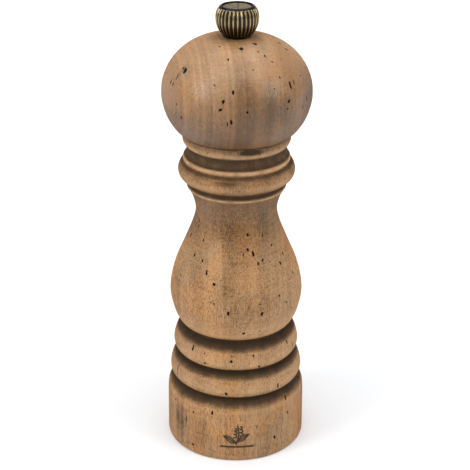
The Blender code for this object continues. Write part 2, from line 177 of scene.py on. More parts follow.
class Effect:
    """A shader node group that several materials share, built once."""

    name: str = ""
    takes: dict[str, SocketKind] = {}
    gives: dict[str, SocketKind] = {}

    def wire(self, wiring: Wiring, given: Sockets) -> Sockets:
        """Builds the inside of the group from its inputs. Returns what each output gets."""
        raise NotImplementedError

    def tree(self) -> bpy.types.NodeTree:
        """Makes the group at its first use.

        Returns:
            The finished group.
        """
        found = bpy.data.node_groups.get(self.name)
        if found:
            return found
        tree = bpy.data.node_groups.new(self.name, "ShaderNodeTree")
        for sockets, way in ((self.takes, "INPUT"), (self.gives, "OUTPUT")):
            for name, kind in sockets.items():
                tree.interface.new_socket(name, in_out=way, socket_type=kind.value)
        wiring = Wiring(tree)
        start, end = tree.nodes.new("NodeGroupInput"), tree.nodes.new("NodeGroupOutput")
        made = self.wire(wiring, {name: start.outputs[name] for name in self.takes})
        for name, socket in made.items():
            tree.links.new(socket, end.inputs[name])
        return tree


class BeechGrain(Effect):
    """Nearly flat growth layers that stand upright at the front, broad tone patches, streaks, flecks and mottle,
    darkened or lightened by a painted shading input.
    """

    name = "beech_grain"
    takes = {
        "Position": SocketKind.VECTOR,
        "Light": SocketKind.COLOUR,
        "Middle": SocketKind.COLOUR,
        "Dark": SocketKind.COLOUR,
        "Shade": SocketKind.NUMBER,
        "Layers": SocketKind.NUMBER,
        "Grit": SocketKind.NUMBER,
    }
    gives = {"Colour": SocketKind.COLOUR, "Height": SocketKind.NUMBER, "Roughness": SocketKind.NUMBER}

    def wire(self, wiring: Wiring, given: Sockets) -> Sockets:
        """Adds layers, patches, streaks and flecks up to one tone, and mixes three colours by it.

        Args:
            wiring: adds and joins the group's nodes.
            given: the group's inputs.

        Returns:
            What each output gets.
        """
        w, place = wiring, given["Position"]
        drift = w.noise(w.stretched(place, 0.06, 0.010), 1.0, 1.0, colour=True)
        drift = w.vector("SCALE", w.vector("SUBTRACT", drift, (0.5, 0.5, 0.5)), scale=2.4)
        flat = w.vector("MULTIPLY", w.vector("ADD", place, drift), (1.0, 1.0, 0.0))
        from_pith = w.vector("LENGTH", w.vector("SUBTRACT", flat, (-310.0, -60.0, 0.0)))
        band = w.line_noise(from_pith, 0.14, 1.0)
        ring = w.line_noise(from_pith, 0.85, 2.0)
        patch = w.noise(w.stretched(place, 0.075, 0.055, (3.1, 7.7, 1.9)), 1.0, 3.0, 0.55)
        streak = w.noise(w.stretched(place, 1.1, 0.045), 1.0, 2.0)
        fleck = w.noise(w.stretched(place, 3.3, 0.40), 1.0, 3.0, 0.65)
        mottle = w.noise(w.stretched(place, 1.6, 1.1, (5.0, 1.0, 8.0)), 1.0, 4.0, 0.7)
        lathe = w.noise(w.stretched(place, 0.12, 3.0, (2.0, 6.0, 4.0)), 1.0, 2.0)
        # Painted shading: positive values lower the tone as painted shade, and negative values raise it as painted
        # highlight.
        tone = w.math("MULTIPLY_ADD", given["Shade"], -0.22, 0.54)
        layers = self.summed(w, ((band, 0.80), (ring, 0.50), (streak, 0.45)))
        grit = self.summed(w, ((fleck, 1.55), (mottle, 0.85), (lathe, 0.55)))
        tone = w.math("ADD", tone, self.summed(w, ((patch, 0.55),)))
        tone = w.math("MULTIPLY_ADD", layers, given["Layers"], tone)
        tone = w.math("MULTIPLY_ADD", grit, given["Grit"], tone)
        low = w.step(tone, 0.08, 0.50)
        high = w.step(tone, 0.44, 0.88)
        colour = w.mix(high, w.mix(low, given["Dark"], given["Middle"]), given["Light"])
        # Positive painted shading also darkens the colour by a brown tint, as painted shade.
        colour = w.tinted(colour, (0.60, 0.56, 0.50), w.math("MAXIMUM", given["Shade"], 0.0))
        warming = w.noise(w.stretched(place, 0.07, 0.06, (1.3, 8.2, 3.4)), 1.0, 3.0)
        colour = w.tinted(colour, (1.14, 1.00, 0.78), w.step(warming, 0.44, 0.66, 0.0, 0.8))
        greying = w.noise(w.stretched(place, 0.10, 0.030, (9.3, 2.2, 5.4)), 1.0, 3.0)
        colour = w.tinted(colour, (0.82, 0.84, 0.87), w.step(greying, 0.48, 0.68, 0.0, 0.6))
        dash = w.step(w.noise(w.stretched(place, 2.8, 0.42, (1.0, 4.0, 2.0)), 1.0, 2.0), 0.56, 0.68)
        dashed = w.math("MULTIPLY", dash, w.math("MULTIPLY", given["Grit"], 0.7))
        colour = w.tinted(colour, (0.46, 0.38, 0.31), dashed)
        height = w.math("SUBTRACT", w.math("MULTIPLY", fleck, 0.5), w.math("MULTIPLY", dash, 0.6))
        return {"Colour": colour, "Height": height, "Roughness": w.step(mottle, 0.3, 0.7, 0.40, 0.56)}

    @staticmethod
    def summed(wiring: Wiring, parts: tuple[tuple[bpy.types.NodeSocket, float], ...]) -> bpy.types.NodeSocket:
        """Adds up noises, each taken about its middle and times its share.

        Args:
            wiring: adds and joins the nodes.
            parts: each noise and its share.

        Returns:
            The sum's output.
        """
        total = 0.0
        for part, share in parts:
            total = wiring.math("MULTIPLY_ADD", wiring.math("SUBTRACT", part, 0.5), share, total)
        return total


class PinHoles(Effect):
    """Pin holes scattered over the wood, finer than the worm holes that the mesh carries."""

    name = "pin_holes"
    takes = {"Position": SocketKind.VECTOR, "Crowding": SocketKind.NUMBER}
    gives = {"Hole": SocketKind.NUMBER}

    def wire(self, wiring: Wiring, given: Sockets) -> Sockets:
        """Scattered cells, each with a hole of its own random radius.

        Args:
            wiring: adds and joins the group's nodes.
            given: the group's inputs.

        Returns:
            What each output gets.
        """
        w, cell = wiring, 2.3
        wobble = w.vector("SCALE", w.noise(given["Position"], 2.6, 1.0, colour=True), scale=0.3)
        place = w.stretched(w.vector("ADD", given["Position"], wobble), 1.0 / cell, 0.6 / cell, (0.4, 0.8, 0.3))
        voronoi = w.add("TexVoronoi", {"Vector": place, "Scale": 1.0})
        chance = w.add("SeparateColor", {0: voronoi.outputs["Color"]})
        away = w.math("MULTIPLY", voronoi.outputs["Distance"], cell)
        radius = w.math("MULTIPLY_ADD", w.math("POWER", chance.outputs[0], 2.0), 0.20, 0.07)
        there = w.math("LESS_THAN", chance.outputs[1], given["Crowding"])
        share = w.math("DIVIDE", away, radius)
        return {"Hole": w.math("MULTIPLY", w.step(share, 0.6, 1.2, 1.0, 0.0), there)}


class Patina(Effect):
    """Dark patina that fills hollows and breaks up over a metal's bright high spots; on the knob the same input also
    carries painted shade.
    """

    name = "patina"
    takes = {
        "Position": SocketKind.VECTOR,
        "Bright": SocketKind.COLOUR,
        "Dull": SocketKind.COLOUR,
        "Hollow": SocketKind.NUMBER,
        "Polish": SocketKind.NUMBER,
        "Tarnish": SocketKind.NUMBER,
    }
    gives = {"Colour": SocketKind.COLOUR, "Roughness": SocketKind.NUMBER, "Height": SocketKind.NUMBER}

    def wire(self, wiring: Wiring, given: Sockets) -> Sockets:
        """Mixes bright and dull metal by the hollow-and-shade input and two noises.

        Args:
            wiring: adds and joins the group's nodes.
            given: the group's inputs.

        Returns:
            What each output gets.
        """
        w, place = wiring, given["Position"]
        cloud = w.noise(place, 0.55, 3.0)
        grit = w.noise(place, 4.0, 3.0, 0.7)
        edge = w.math("MULTIPLY_ADD", w.math("SUBTRACT", grit, 0.5), 0.35, given["Hollow"])
        dull = w.step(edge, 0.30, 0.70)
        haze = w.math("MULTIPLY", w.step(cloud, 0.40, 0.70), given["Tarnish"])
        dull = w.math("MAXIMUM", dull, haze)
        colour = w.mix(dull, given["Bright"], given["Dull"])
        roughness = w.math("ADD", given["Polish"], w.step(grit, 0.3, 0.7, -0.05, 0.08))
        return {"Colour": colour, "Roughness": roughness, "Height": grit}


# ---- Finishes -----------------------------------------------------------------------------------------------
def new_material(name: str) -> tuple[bpy.types.Material, Wiring, bpy.types.Node]:
    """Makes a new material.

    Args:
        name: the material's name.

    Returns:
        The material, its wiring and its Principled BSDF.
    """
    material = bpy.data.materials.new(name)
    material.use_nodes = True
    return material, Wiring(material.node_tree), material.node_tree.nodes["Principled BSDF"]


def place_in_mm(wiring: Wiring, shift: Colour = (0.0, 0.0, 0.0)) -> bpy.types.NodeSocket:
    """The surface's own position in millimetres, moved by shift. Returns the vector output."""
    position = wiring.add("TexCoord").outputs["Object"]
    return wiring.add("VectorMath", {0: position, 1: (1000.0,) * 3, 2: shift}, operation="MULTIPLY_ADD").outputs[0]


@dataclass(frozen=True)
class BeechFinish:
    """Distressed beech: grain, brown stain left in the hollows, worn light edges, worm holes and burnt lines, with
    painted shade and painted highlights laid on by the piece's marks.
    """

    name: str
    shift: Colour
    light: Colour = (0.465, 0.272, 0.131)
    middle: Colour = (0.335, 0.182, 0.078)
    dark: Colour = (0.155, 0.079, 0.028)
    # Tint of the grey wash mark, which on the head also paints shade under the ball and a highlight tint at its
    # sides.
    greying: Colour = (0.78, 0.80, 0.86)
    stain: Colour = (0.056, 0.028, 0.0095)
    deep: Colour = (0.022, 0.0115, 0.004)
    worn: Colour = (0.55, 0.338, 0.175)
    hole: Colour = (0.022, 0.011, 0.005)
    burnt: Colour = (0.034, 0.016, 0.007)
    crowding: float = 0.45
    layers: float = 0.55
    grit: float = 1.05
    gloss: float = 0.30
    roughening: float = 0.0
    bump_mm: float = 0.10

    def material(self) -> bpy.types.Material:
        """Builds the finish, which reads the piece's own marks, such as stain and worn.

        Returns:
            The material.
        """
        material, w, shader = new_material(self.name)
        place = place_in_mm(w, self.shift)
        names = ("stain", "wash", "worn", "shade", "hole", "burn")
        marks = {name: w.add("Attribute", attribute_name=name).outputs["Fac"] for name in names}
        tones = {"Light": self.light, "Middle": self.middle, "Dark": self.dark}
        given = {"Position": place, "Shade": marks["shade"], "Layers": self.layers, "Grit": self.grit, **tones}
        grain = w.group(BeechGrain().tree(), given)
        brush = w.noise(w.stretched(place, 0.30, 0.22), 1.0, 3.0, 0.55)
        fine = w.noise(w.stretched(place, 2.2, 0.9), 1.0, 3.0, 0.65)
        # Grey wash: grey patches of the wood, and on the head painted shade under the ball and a painted highlight
        # tint.
        colour = w.tinted(grain.outputs["Colour"], self.greying, marks["wash"])
        rubbed = w.math("MULTIPLY", marks["worn"], w.step(brush, 0.30, 0.60, 0.35, 1.0))
        colour = w.mix(w.math("MULTIPLY", rubbed, 0.75), colour, self.worn)
        here = w.step(marks["stain"], 0.0, 0.25)
        ragged = w.math("MULTIPLY_ADD", w.math("SUBTRACT", brush, 0.5), 0.55, marks["stain"])
        ragged = w.math("MULTIPLY_ADD", w.math("SUBTRACT", fine, 0.5), 0.42, ragged)
        soaked = w.math("MULTIPLY", w.step(ragged, 0.10, 0.95), here)
        deep = w.step(ragged, 0.75, 1.15)
        colour = w.mix(w.math("MULTIPLY", soaked, 0.95), colour, w.mix(deep, self.stain, self.deep))
        # Pin holes are painted as dark dots with no hollow in the mesh, partly painted shade for the shadow inside
        # them.
        pins = w.group(PinHoles().tree(), {"Position": place, "Crowding": self.crowding}).outputs["Hole"]
        pins = w.math("MULTIPLY", pins, 0.85)
        rim = w.step(marks["hole"], 0.0, 0.45, 0.0, 0.5)
        colour = w.mix(rim, colour, self.stain)
        colour = w.mix(pins, colour, self.stain)
        colour = w.mix(marks["burn"], colour, self.burnt)
        # Near-black inside the worm holes: partly painted shade in the recesses.
        dark = w.step(marks["hole"], 0.40, 0.70)
        colour = w.mix(dark, colour, self.hole)
        # Painted shade at grazing angles: the colour is warmed and its green and blue cut to damp the bright
        # reflection at the edges; the same factor roughens them.
        edge = w.step(w.add("LayerWeight", {"Blend": 0.5}).outputs["Facing"], 0.35, 0.95)
        w.feed(shader.inputs["Base Color"], w.tinted(colour, (1.0, 0.92, 0.80), edge))
        rough = w.math("MULTIPLY_ADD", w.math("MAXIMUM", soaked, dark), 0.30, grain.outputs["Roughness"])
        rough = w.math("ADD", rough, self.roughening)
        w.feed(shader.inputs["Roughness"], w.math("MULTIPLY_ADD", edge, 0.40, rough))
        shader.inputs["Specular IOR Level"].default_value = self.gloss
        height = w.math("MULTIPLY_ADD", pins, -1.5, grain.outputs["Height"])
        bump = w.add("Bump", {"Strength": 1.0, "Distance": self.bump_mm * MM, "Height": height})
        w.feed(shader.inputs["Normal"], bump.outputs[0])
        return material


class Metal(Enum):
    """The plain metals of the works: bright colour, dull colour, polish and tarnish."""

    BRASS = ((0.70, 0.50, 0.22), (0.30, 0.20, 0.09), 0.30, 0.5)
    ZINC_STEEL = ((0.62, 0.62, 0.60), (0.34, 0.34, 0.34), 0.34, 0.6)
    HARDENED_STEEL = ((0.20, 0.19, 0.19), (0.07, 0.065, 0.06), 0.42, 0.7)
    SPRING_STEEL = ((0.52, 0.52, 0.53), (0.24, 0.24, 0.25), 0.28, 0.5)


@dataclass(frozen=True)
class MetalFinish:
    """A metal with patina. Hollows, and on the knob painted shade, come from the piece's hollow-and-shade attribute
    when it has one.
    """

    name: str
    bright: Colour
    dull: Colour
    polish: float
    tarnish: float
    reads_hollow: bool = False
    bump_mm: float = 0.015

    def material(self) -> bpy.types.Material:
        """Builds the finish.

        Returns:
            The material.
        """
        material, w, shader = new_material(self.name)
        hollow = w.add("Attribute", attribute_name="hollow").outputs["Fac"] if self.reads_hollow else 0.0
        given = {
            "Position": place_in_mm(w),
            "Bright": self.bright,
            "Dull": self.dull,
            "Hollow": hollow,
            "Polish": self.polish,
            "Tarnish": self.tarnish,
        }
        patina = w.group(Patina().tree(), given)
        w.feed(shader.inputs["Base Color"], patina.outputs["Colour"])
        w.feed(shader.inputs["Roughness"], patina.outputs["Roughness"])
        shader.inputs["Metallic"].default_value = 1.0
        bump = w.add("Bump", {"Strength": 0.6, "Distance": self.bump_mm * MM, "Height": patina.outputs["Height"]})
        w.feed(shader.inputs["Normal"], bump.outputs[0])
        return material


# ---- Turned surfaces ----------------------------------------------------------------------------------------
def flowing(points: list[Point], per_span: int = 24) -> np.ndarray:
    """A smooth curve through points: a Catmull-Rom cubic on each span, worked out for all spans at once.

    Args:
        points: radius and height of each point, in mm.
        per_span: steps on each span.

    Returns:
        Array of shape (n, 2).
    """
    knots = np.array([points[0], *points, points[-1]], float)
    before, start, end, after = (knots[i : len(knots) - 3 + i, None, :] for i in range(4))
    t = (np.arange(per_span) / per_span)[None, :, None]
    cubic = 0.5 * (
        2 * start
        + (end - before) * t
        + (2 * before - 5 * start + 4 * end - after) * t**2
        + (3 * start - before - 3 * end + after) * t**3
    )
    return np.vstack([cubic.reshape(-1, 2), knots[-1:]])


def even_steps(line: np.ndarray, step: float) -> np.ndarray:
    """Points at even steps along a closed line.

    Args:
        line: the line's corners, shape (n, 2), without the first one repeated.
        step: the wanted spacing, in mm.

    Returns:
        Array of shape (m, 2).
    """
    loop = np.vstack([line, line[:1]])
    run = np.concatenate([[0.0], np.cumsum(np.hypot(*np.diff(loop, axis=0).T))])
    at = np.linspace(0.0, run[-1], int(run[-1] / step), endpoint=False)
    return np.column_stack([np.interp(at, run, loop[:, i]) for i in range(2)])


def softened(line: np.ndarray, step: float, radius: float) -> np.ndarray:
    """Rounds every corner of a closed line: a running Gaussian mean of its points.

    Args:
        line: evenly spaced points, shape (n, 2).
        step: their spacing, in mm.
        radius: the Gaussian's width, in mm.

    Returns:
        Array of the same shape.
    """
    reach = int(3 * radius / step) + 1
    offsets = np.arange(-reach, reach + 1)
    weights = np.exp(-0.5 * (offsets * step / radius) ** 2)
    weights /= weights.sum()
    index = (np.arange(len(line))[:, None] + offsets[None, :]) % len(line)
    return (line[index] * weights[None, :, None]).sum(1)


def thinned(line: np.ndarray, count: int, fineness: np.ndarray, bend_share: float = 1.6) -> np.ndarray:
    """Keeps a number of a closed line's points, closer together where it bends and where fineness is high.

    Args:
        line: evenly spaced points, shape (n, 2).
        count: points to keep.
        fineness: weight of each point, shape (n,).
        bend_share: how many mm of straight line one radian of bend is worth.

    Returns:
        Array of shape (count, 2).
    """
    ahead = np.roll(line, -1, axis=0) - line
    heading = np.unwrap(np.arctan2(ahead[:, 1], ahead[:, 0]))
    bend = np.abs(np.diff(heading, append=heading[-1]))
    cost = (np.hypot(*ahead.T) + bend_share * bend) * fineness
    run = np.concatenate([[0.0], np.cumsum(cost)])
    at = np.linspace(0.0, run[-1], count, endpoint=False)
    loop = np.vstack([line, line[:1]])
    return np.column_stack([np.interp(at, run, loop[:, i]) for i in range(2)])


def smooth_step(value: np.ndarray, low: float, high: float) -> np.ndarray:
    """0 below low, 1 above high and a cubic ease between. Returns an array of the value's shape."""
    t = np.clip((value - low) / (high - low), 0.0, 1.0)
    return t * t * (3.0 - 2.0 * t)


def carried_round(line: np.ndarray, turn: np.ndarray, lift: np.ndarray | float = 0.0) -> np.ndarray:
    """Carries a section round the axis: x is radius times sine, y is minus radius times cosine, z is the height.

    Args:
        line: radius and height of each row, in mm, shape (rows, 2).
        turn: angle of each column in radians, 0 at the front, shape (columns,).
        lift: what is added to the radius, shape (rows, columns) or a number.

    Returns:
        Array of shape (rows, columns, 3), in mm.
    """
    radius = line[:, 0:1] + lift
    height = np.repeat(line[:, 1:2], len(turn), axis=1)
    return np.stack([radius * np.sin(turn), -radius * np.cos(turn), height], axis=-1)


def grid_mesh(name: str, points: np.ndarray, closed_rows: bool = True) -> bpy.types.Object:
    """Skins a grid of points that is closed round its second index with quads.

    Args:
        name: the new object's name.
        points: shape (rows, columns, 3), in mm.
        closed_rows: True joins the last row to the first; False closes each end with a fan of triangles.

    Returns:
        The new object, at the origin, with its faces pointing outwards.
    """
    rows, columns = points.shape[:2]
    index = np.arange(rows * columns).reshape(rows, columns)
    lower = index if closed_rows else index[:-1]
    upper = np.roll(index, -1, axis=0) if closed_rows else index[1:]
    quads = np.stack([lower, np.roll(lower, -1, 1), np.roll(upper, -1, 1), upper], axis=-1).reshape(-1, 4)
    flat = points.reshape(-1, 3) * MM
    faces = quads.tolist()
    if not closed_rows:
        poles = len(flat) + np.arange(2)
        flat = np.vstack([flat, flat[index[0]].mean(0), flat[index[-1]].mean(0)])
        for ring, pole in ((np.roll(index[0], -1), poles[0]), (index[-1], poles[1])):
            after = index[0] if pole == poles[0] else np.roll(ring, -1)
            faces += np.stack([ring, after, np.full_like(ring, pole)], axis=-1).tolist()
    mesh = bpy.data.meshes.new(name)
    mesh.from_pydata(flat, [], faces)
    corners = flat[quads]
    if np.einsum("ij,ij->i", corners[:, 0], np.cross(corners[:, 1], corners[:, 2])).sum() < 0:
        mesh.flip_normals()
    item = bpy.data.objects.new(name, mesh)
    bpy.context.scene.collection.objects.link(item)
    return item


def places(mesh: bpy.types.Mesh) -> np.ndarray:
    """Reads a mesh's points.

    Args:
        mesh: the mesh to read.

    Returns:
        Array of shape (n, 3), in mm.
    """
    flat = np.empty(len(mesh.vertices) * 3)
    mesh.vertices.foreach_get("co", flat)
    return flat.reshape(-1, 3) / MM


def split_finer(mesh: bpy.types.Mesh, near: np.ndarray, cuts: int) -> None:
    """Splits the faces whose corners are all near a detail into a finer grid.

    Args:
        mesh: the mesh to change.
        near: True for each point that is near, shape (n,).
        cuts: how many times each edge between two near points is cut.
    """
    pairs = np.empty(len(mesh.edges) * 2, int)
    mesh.edges.foreach_get("vertices", pairs)
    chosen = np.flatnonzero(near[pairs.reshape(-1, 2)].all(1))
    work = bmesh.new()
    work.from_mesh(mesh)
    work.edges.ensure_lookup_table()
    bmesh.ops.subdivide_edges(work, edges=[work.edges[i] for i in chosen], cuts=cuts, use_grid_fill=True)
    work.to_mesh(mesh)
    work.free()


def finish_mesh(mesh: bpy.types.Mesh, marks: dict[str, np.ndarray], sharp_deg: float = 50.0) -> None:
    """Stores a mesh's point attributes and shades it smooth up to an angle.

    Args:
        mesh: the mesh to finish.
        marks: point attributes, each of shape (n,).
        sharp_deg: edges that bend more than this stay sharp.
    """
    for key, value in marks.items():
        attribute = mesh.attributes.new(key, "FLOAT", "POINT")
        attribute.data.foreach_set("value", value.astype(np.float32))
    mesh.shade_smooth()
    mesh.set_sharp_from_angle(angle=math.radians(sharp_deg))


def along(height: np.ndarray, stops: list[Point]) -> np.ndarray:
    """Reads a value that is given at some heights, straight between them. Returns one value for each height."""
    given = np.array(sorted(stops), float)
    return np.interp(height, given[:, 0], given[:, 1])


def blot(angle: np.ndarray, height: np.ndarray, centre: Point, spread: Point) -> np.ndarray:
    """A soft oval patch: a bell curve of the angle times a bell curve of the height.

    Args:
        angle: degrees round the axis, 0 at the front and positive to the right, shape (n,).
        height: mm, shape (n,).
        centre: angle and height of the patch.
        spread: its half-widths, in degrees and mm.

    Returns:
        Array of shape (n,), from 0 to 1.
    """
    across = (angle - centre[0] + 180.0) % 360.0 - 180.0
    return np.exp(-(((height - centre[1]) / spread[1]) ** 2) - (across / spread[0]) ** 2)


def blots(angle: np.ndarray, height: np.ndarray, patches: list[Patch]) -> np.ndarray:
    """Adds up soft patches, each with its angle, height, half-widths and strength. Returns shape (n,)."""
    return sum(strength * blot(angle, height, (a, z), (da, dz)) for a, z, da, dz, strength in patches)


@dataclass(frozen=True)
class WormHoles:
    """Worm holes bored into a turned surface: some placed, and the others scattered over the sides and the back."""

    placed: list[Hole]
    scattered: int
    seed: int
    span: Point
    wall: float = 0.9
    widening: float = 1.22
    reach: float = 1.2
    sides_from_deg: float = 76.0
    sides_width_deg: float = 208.0
    smallest: float = 0.18
    size_range: float = 0.38

    def holes(self) -> np.ndarray:
        """Lists the placed holes, then the scattered ones.

        Returns:
            Angle, height, half-width and half-length of every hole, shape (n, 4).
        """
        chance = np.random.default_rng(self.seed).random((4, self.scattered))
        size = self.smallest + self.size_range * chance[2] ** 1.6
        others = [
            self.sides_from_deg + self.sides_width_deg * chance[0],
            self.span[0] + (self.span[1] - self.span[0]) * chance[1],
            size,
            size * (1.1 + 0.9 * chance[3]),
        ]
        placed = np.array(self.placed, float) * (1.0, 1.0, self.widening, self.widening)
        return np.vstack([placed, np.column_stack(others)])

    def frames(self, line: np.ndarray) -> list[tuple[np.ndarray, np.ndarray]]:
        """Where each hole is, and which way it faces.

        Args:
            line: the outer section's radius and height, shape (n, 2).

        Returns:
            For each hole its centre, and a matrix whose rows point across, up along the surface and outwards.
        """
        order = line[np.argsort(line[:, 1])]
        found = []
        for turn, height in zip(np.radians(self.holes()[:, 0]), self.holes()[:, 1]):
            low, mid, high = np.interp([height - 0.5, height, height + 0.5], order[:, 1], order[:, 0])
            slope = np.array([high - low, 1.0]) / math.hypot(high - low, 1.0)
            out = np.array([math.sin(turn), -math.cos(turn), 0.0])
            rise = np.array([0.0, 0.0, 1.0])
            across = [math.cos(turn), math.sin(turn), 0.0]
            axes = [across, slope[0] * out + slope[1] * rise, slope[1] * out - slope[0] * rise]
            found.append((mid * out + height * rise, np.array(axes)))
        return found

    def bore(self, mesh: bpy.types.Mesh, line: np.ndarray) -> np.ndarray:
        """Splits the mesh finer at the holes and pushes their floors in: a bowl inside each slightly uneven oval.

        Args:
            mesh: the turned mesh, which is changed.
            line: the outer section's radius and height, shape (n, 2).

        Returns:
            How much each point is in a hole, from 0 to 1, shape (n,).
        """
        sizes, frames = self.holes()[:, 2:], self.frames(line)
        points = places(mesh)
        near = np.zeros(len(points), bool)
        for size, (centre, axes) in zip(sizes, frames):
            local = np.abs((points - centre) @ axes.T)
            beside = (local[:, 0] < size[0] + self.wall) & (local[:, 1] < size[1] + self.wall)
            near |= beside & (local[:, 2] < self.reach)
        split_finer(mesh, near, 3)
        points = places(mesh)
        inside = np.zeros(len(points))
        push = np.zeros_like(points)
        for number, (size, (centre, axes)) in enumerate(zip(sizes, frames)):
            local = (points - centre) @ axes.T
            bearing = np.arctan2(local[:, 1], local[:, 0])
            uneven = 1.0 + 0.14 * np.cos(2.0 * bearing + number) + 0.10 * np.cos(3.0 * bearing + 2.3 * number)
            share = np.hypot(local[:, 0] / size[0], local[:, 1] / size[1]) * uneven
            share[np.abs(local[:, 2]) > self.reach] = np.inf
            inside = np.maximum(inside, 1.0 - smooth_step(share, 0.75, 1.45))
            depth = min(1.1, 2.4 * size[0]) * (1.0 - smooth_step(share, 0.45, 1.05))
            push -= depth[:, None] * axes[2]
        mesh.vertices.foreach_set("co", ((points + push) * MM).ravel())
        return inside


@dataclass(frozen=True)
class BurntMark:
    """A plain burnt mark on the foot: a sprig of peppercorns over a straight line."""

    angle: float = 1.0
    height: float = 6.6
    radius: float = 28.0
    stroke: float = 0.26
    depth: float = 0.12
    half_line: float = 6.0
    size: float = 1.12
    half_area: Point = (7.0, 5.6)
    area_height: float = 4.6

    def strokes(self) -> np.ndarray:
        """Draws the line, the stem, two leaves with their veins, and three pairs of round berries.

        Returns:
            Points along every stroke, across and up from the middle of the line, shape (n, 2).
        """
        t = np.linspace(0.0, 1.0, 60)
        turn = 2.0 * np.pi * t[:36]
        line = np.column_stack([self.half_line * (2.0 * t - 1.0), 0.0 * t])
        stem = np.column_stack([0.9 * np.sin(2.6 * t) - 0.1, 1.2 + 7.6 * t])
        parts = [line * (1.0, 0.0), line + (0.0, 0.22), stem]
        for side, reach, foot in ((-1.0, 4.6, 1.7), (1.0, 4.4, 2.3)):
            bulge = 0.95 * np.sin(np.pi * t)
            rise = foot + 2.2 * t
            parts += [np.column_stack([side * reach * t, rise + way * bulge + 0.6 * t]) for way in (-1.0, 0.0, 1.0)]
        for row, (across, up) in enumerate(((1.15, 4.9), (1.05, 6.3), (0.95, 7.7))):
            for side in (-1.0, 1.0):
                middle = (side * across + 0.55, up + 0.35 * side)
                berry = 0.62 - 0.05 * row
                parts.append(np.column_stack([berry * np.sin(turn), berry * np.cos(turn)]) + middle)
        return np.vstack(parts) * self.size

    def burn(self, mesh: bpy.types.Mesh) -> np.ndarray:
        """Splits the mesh finer under the mark and presses its strokes in.

        Args:
            mesh: the turned body, which is changed.

        Returns:
            How burnt each point is, from 0 to 1, shape (n,).
        """
        flat = self.unrolled(places(mesh))
        split_finer(mesh, self.covers(flat), 4)
        points = places(mesh)
        flat = self.unrolled(points)
        close = np.flatnonzero(self.covers(flat))
        away = np.linalg.norm(flat[close, None, :2] - self.strokes()[None, :, :], axis=-1).min(1)
        burnt = np.zeros(len(points))
        burnt[close] = 1.0 - smooth_step(away, 0.7 * self.stroke, 1.9 * self.stroke)
        inward = 1.0 - self.depth * burnt / np.hypot(points[:, 0], points[:, 1])
        points[:, :2] *= inward[:, None]
        mesh.vertices.foreach_set("co", (points * MM).ravel())
        return burnt

    def covers(self, flat: np.ndarray) -> np.ndarray:
        """Whether each unrolled point is in the mark's area on the outer surface. Returns shape (n,)."""
        beside = (np.abs(flat[:, 0]) < self.half_area[0]) & (flat[:, 2] > -0.5)
        return beside & (np.abs(flat[:, 1] - self.area_height) < self.half_area[1])

    def unrolled(self, points: np.ndarray) -> np.ndarray:
        """Unrolls the foot's side about the mark's place.

        Args:
            points: shape (n, 3), in mm.

        Returns:
            Distance across, up and out from the mark's place, shape (n, 3).
        """
        turn = np.arctan2(points[:, 0], -points[:, 1]) - math.radians(self.angle)
        out = np.hypot(points[:, 0], points[:, 1]) - self.radius
        return np.column_stack([self.radius * turn, points[:, 2] - self.height, out])


@dataclass
class TurnedWood:
    """A piece of wood turned between centres: a closed section carried round the axis."""

    name: str
    node: str
    body: str
    finish: BeechFinish
    columns: int = 240
    rows: int = 260
    step: float = 0.1
    edge_radius: float = 0.16

    def section(self) -> np.ndarray:
        """The closed section, radius and height in mm, top to bottom outside and back up the bore."""
        raise NotImplementedError

    def worm_holes(self) -> WormHoles:
        """The piece's worm holes."""
        raise NotImplementedError

    def marks(self, angle: np.ndarray, height: np.ndarray) -> dict[str, np.ndarray]:
        """The stain, wash, worn and painted shading values on the outside; on the head the wash and worn marks also
        carry painted light and shade. Returns arrays of shape (n,).
        """
        raise NotImplementedError

    def outside(self, radius: np.ndarray, height: np.ndarray) -> np.ndarray:
        """1 on the outer surface and 0 in the bores. Returns shape (n,)."""
        raise NotImplementedError

    def cut_details(self, mesh: bpy.types.Mesh, line: np.ndarray) -> dict[str, np.ndarray]:
        """Cuts the worm holes. Returns how much each point is in one, as the hole mark."""
        return {"hole": self.worm_holes().bore(mesh, line)}

    def build(self) -> bpy.types.Object:
        """Turns the section, cuts its details, dresses it and fixes it to its body.

        Returns:
            The piece.
        """
        line = softened(even_steps(self.section(), self.step), self.step, self.edge_radius)
        outer = self.outside(*line.T)
        rows = thinned(line, self.rows, 0.2 + 0.8 * outer)
        turn = 2.0 * np.pi * np.arange(self.columns) / self.columns
        piece = grid_mesh(self.name, carried_round(rows, turn))
        details = self.cut_details(piece.data, line[outer > 0.5])
        points = places(piece.data)
        angle = np.degrees(np.arctan2(points[:, 0], -points[:, 1]))
        radius = np.hypot(points[:, 0], points[:, 1])
        outer = np.maximum(self.outside(radius, points[:, 2]), details["hole"] > 0.0)
        marks = {key: value * outer for key, value in self.marks(angle, points[:, 2]).items()}
        finish_mesh(piece.data, {**marks, **details})
        piece.data.materials.append(self.finish.material())
        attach(piece, self.body)
        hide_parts(self.node)
        return piece


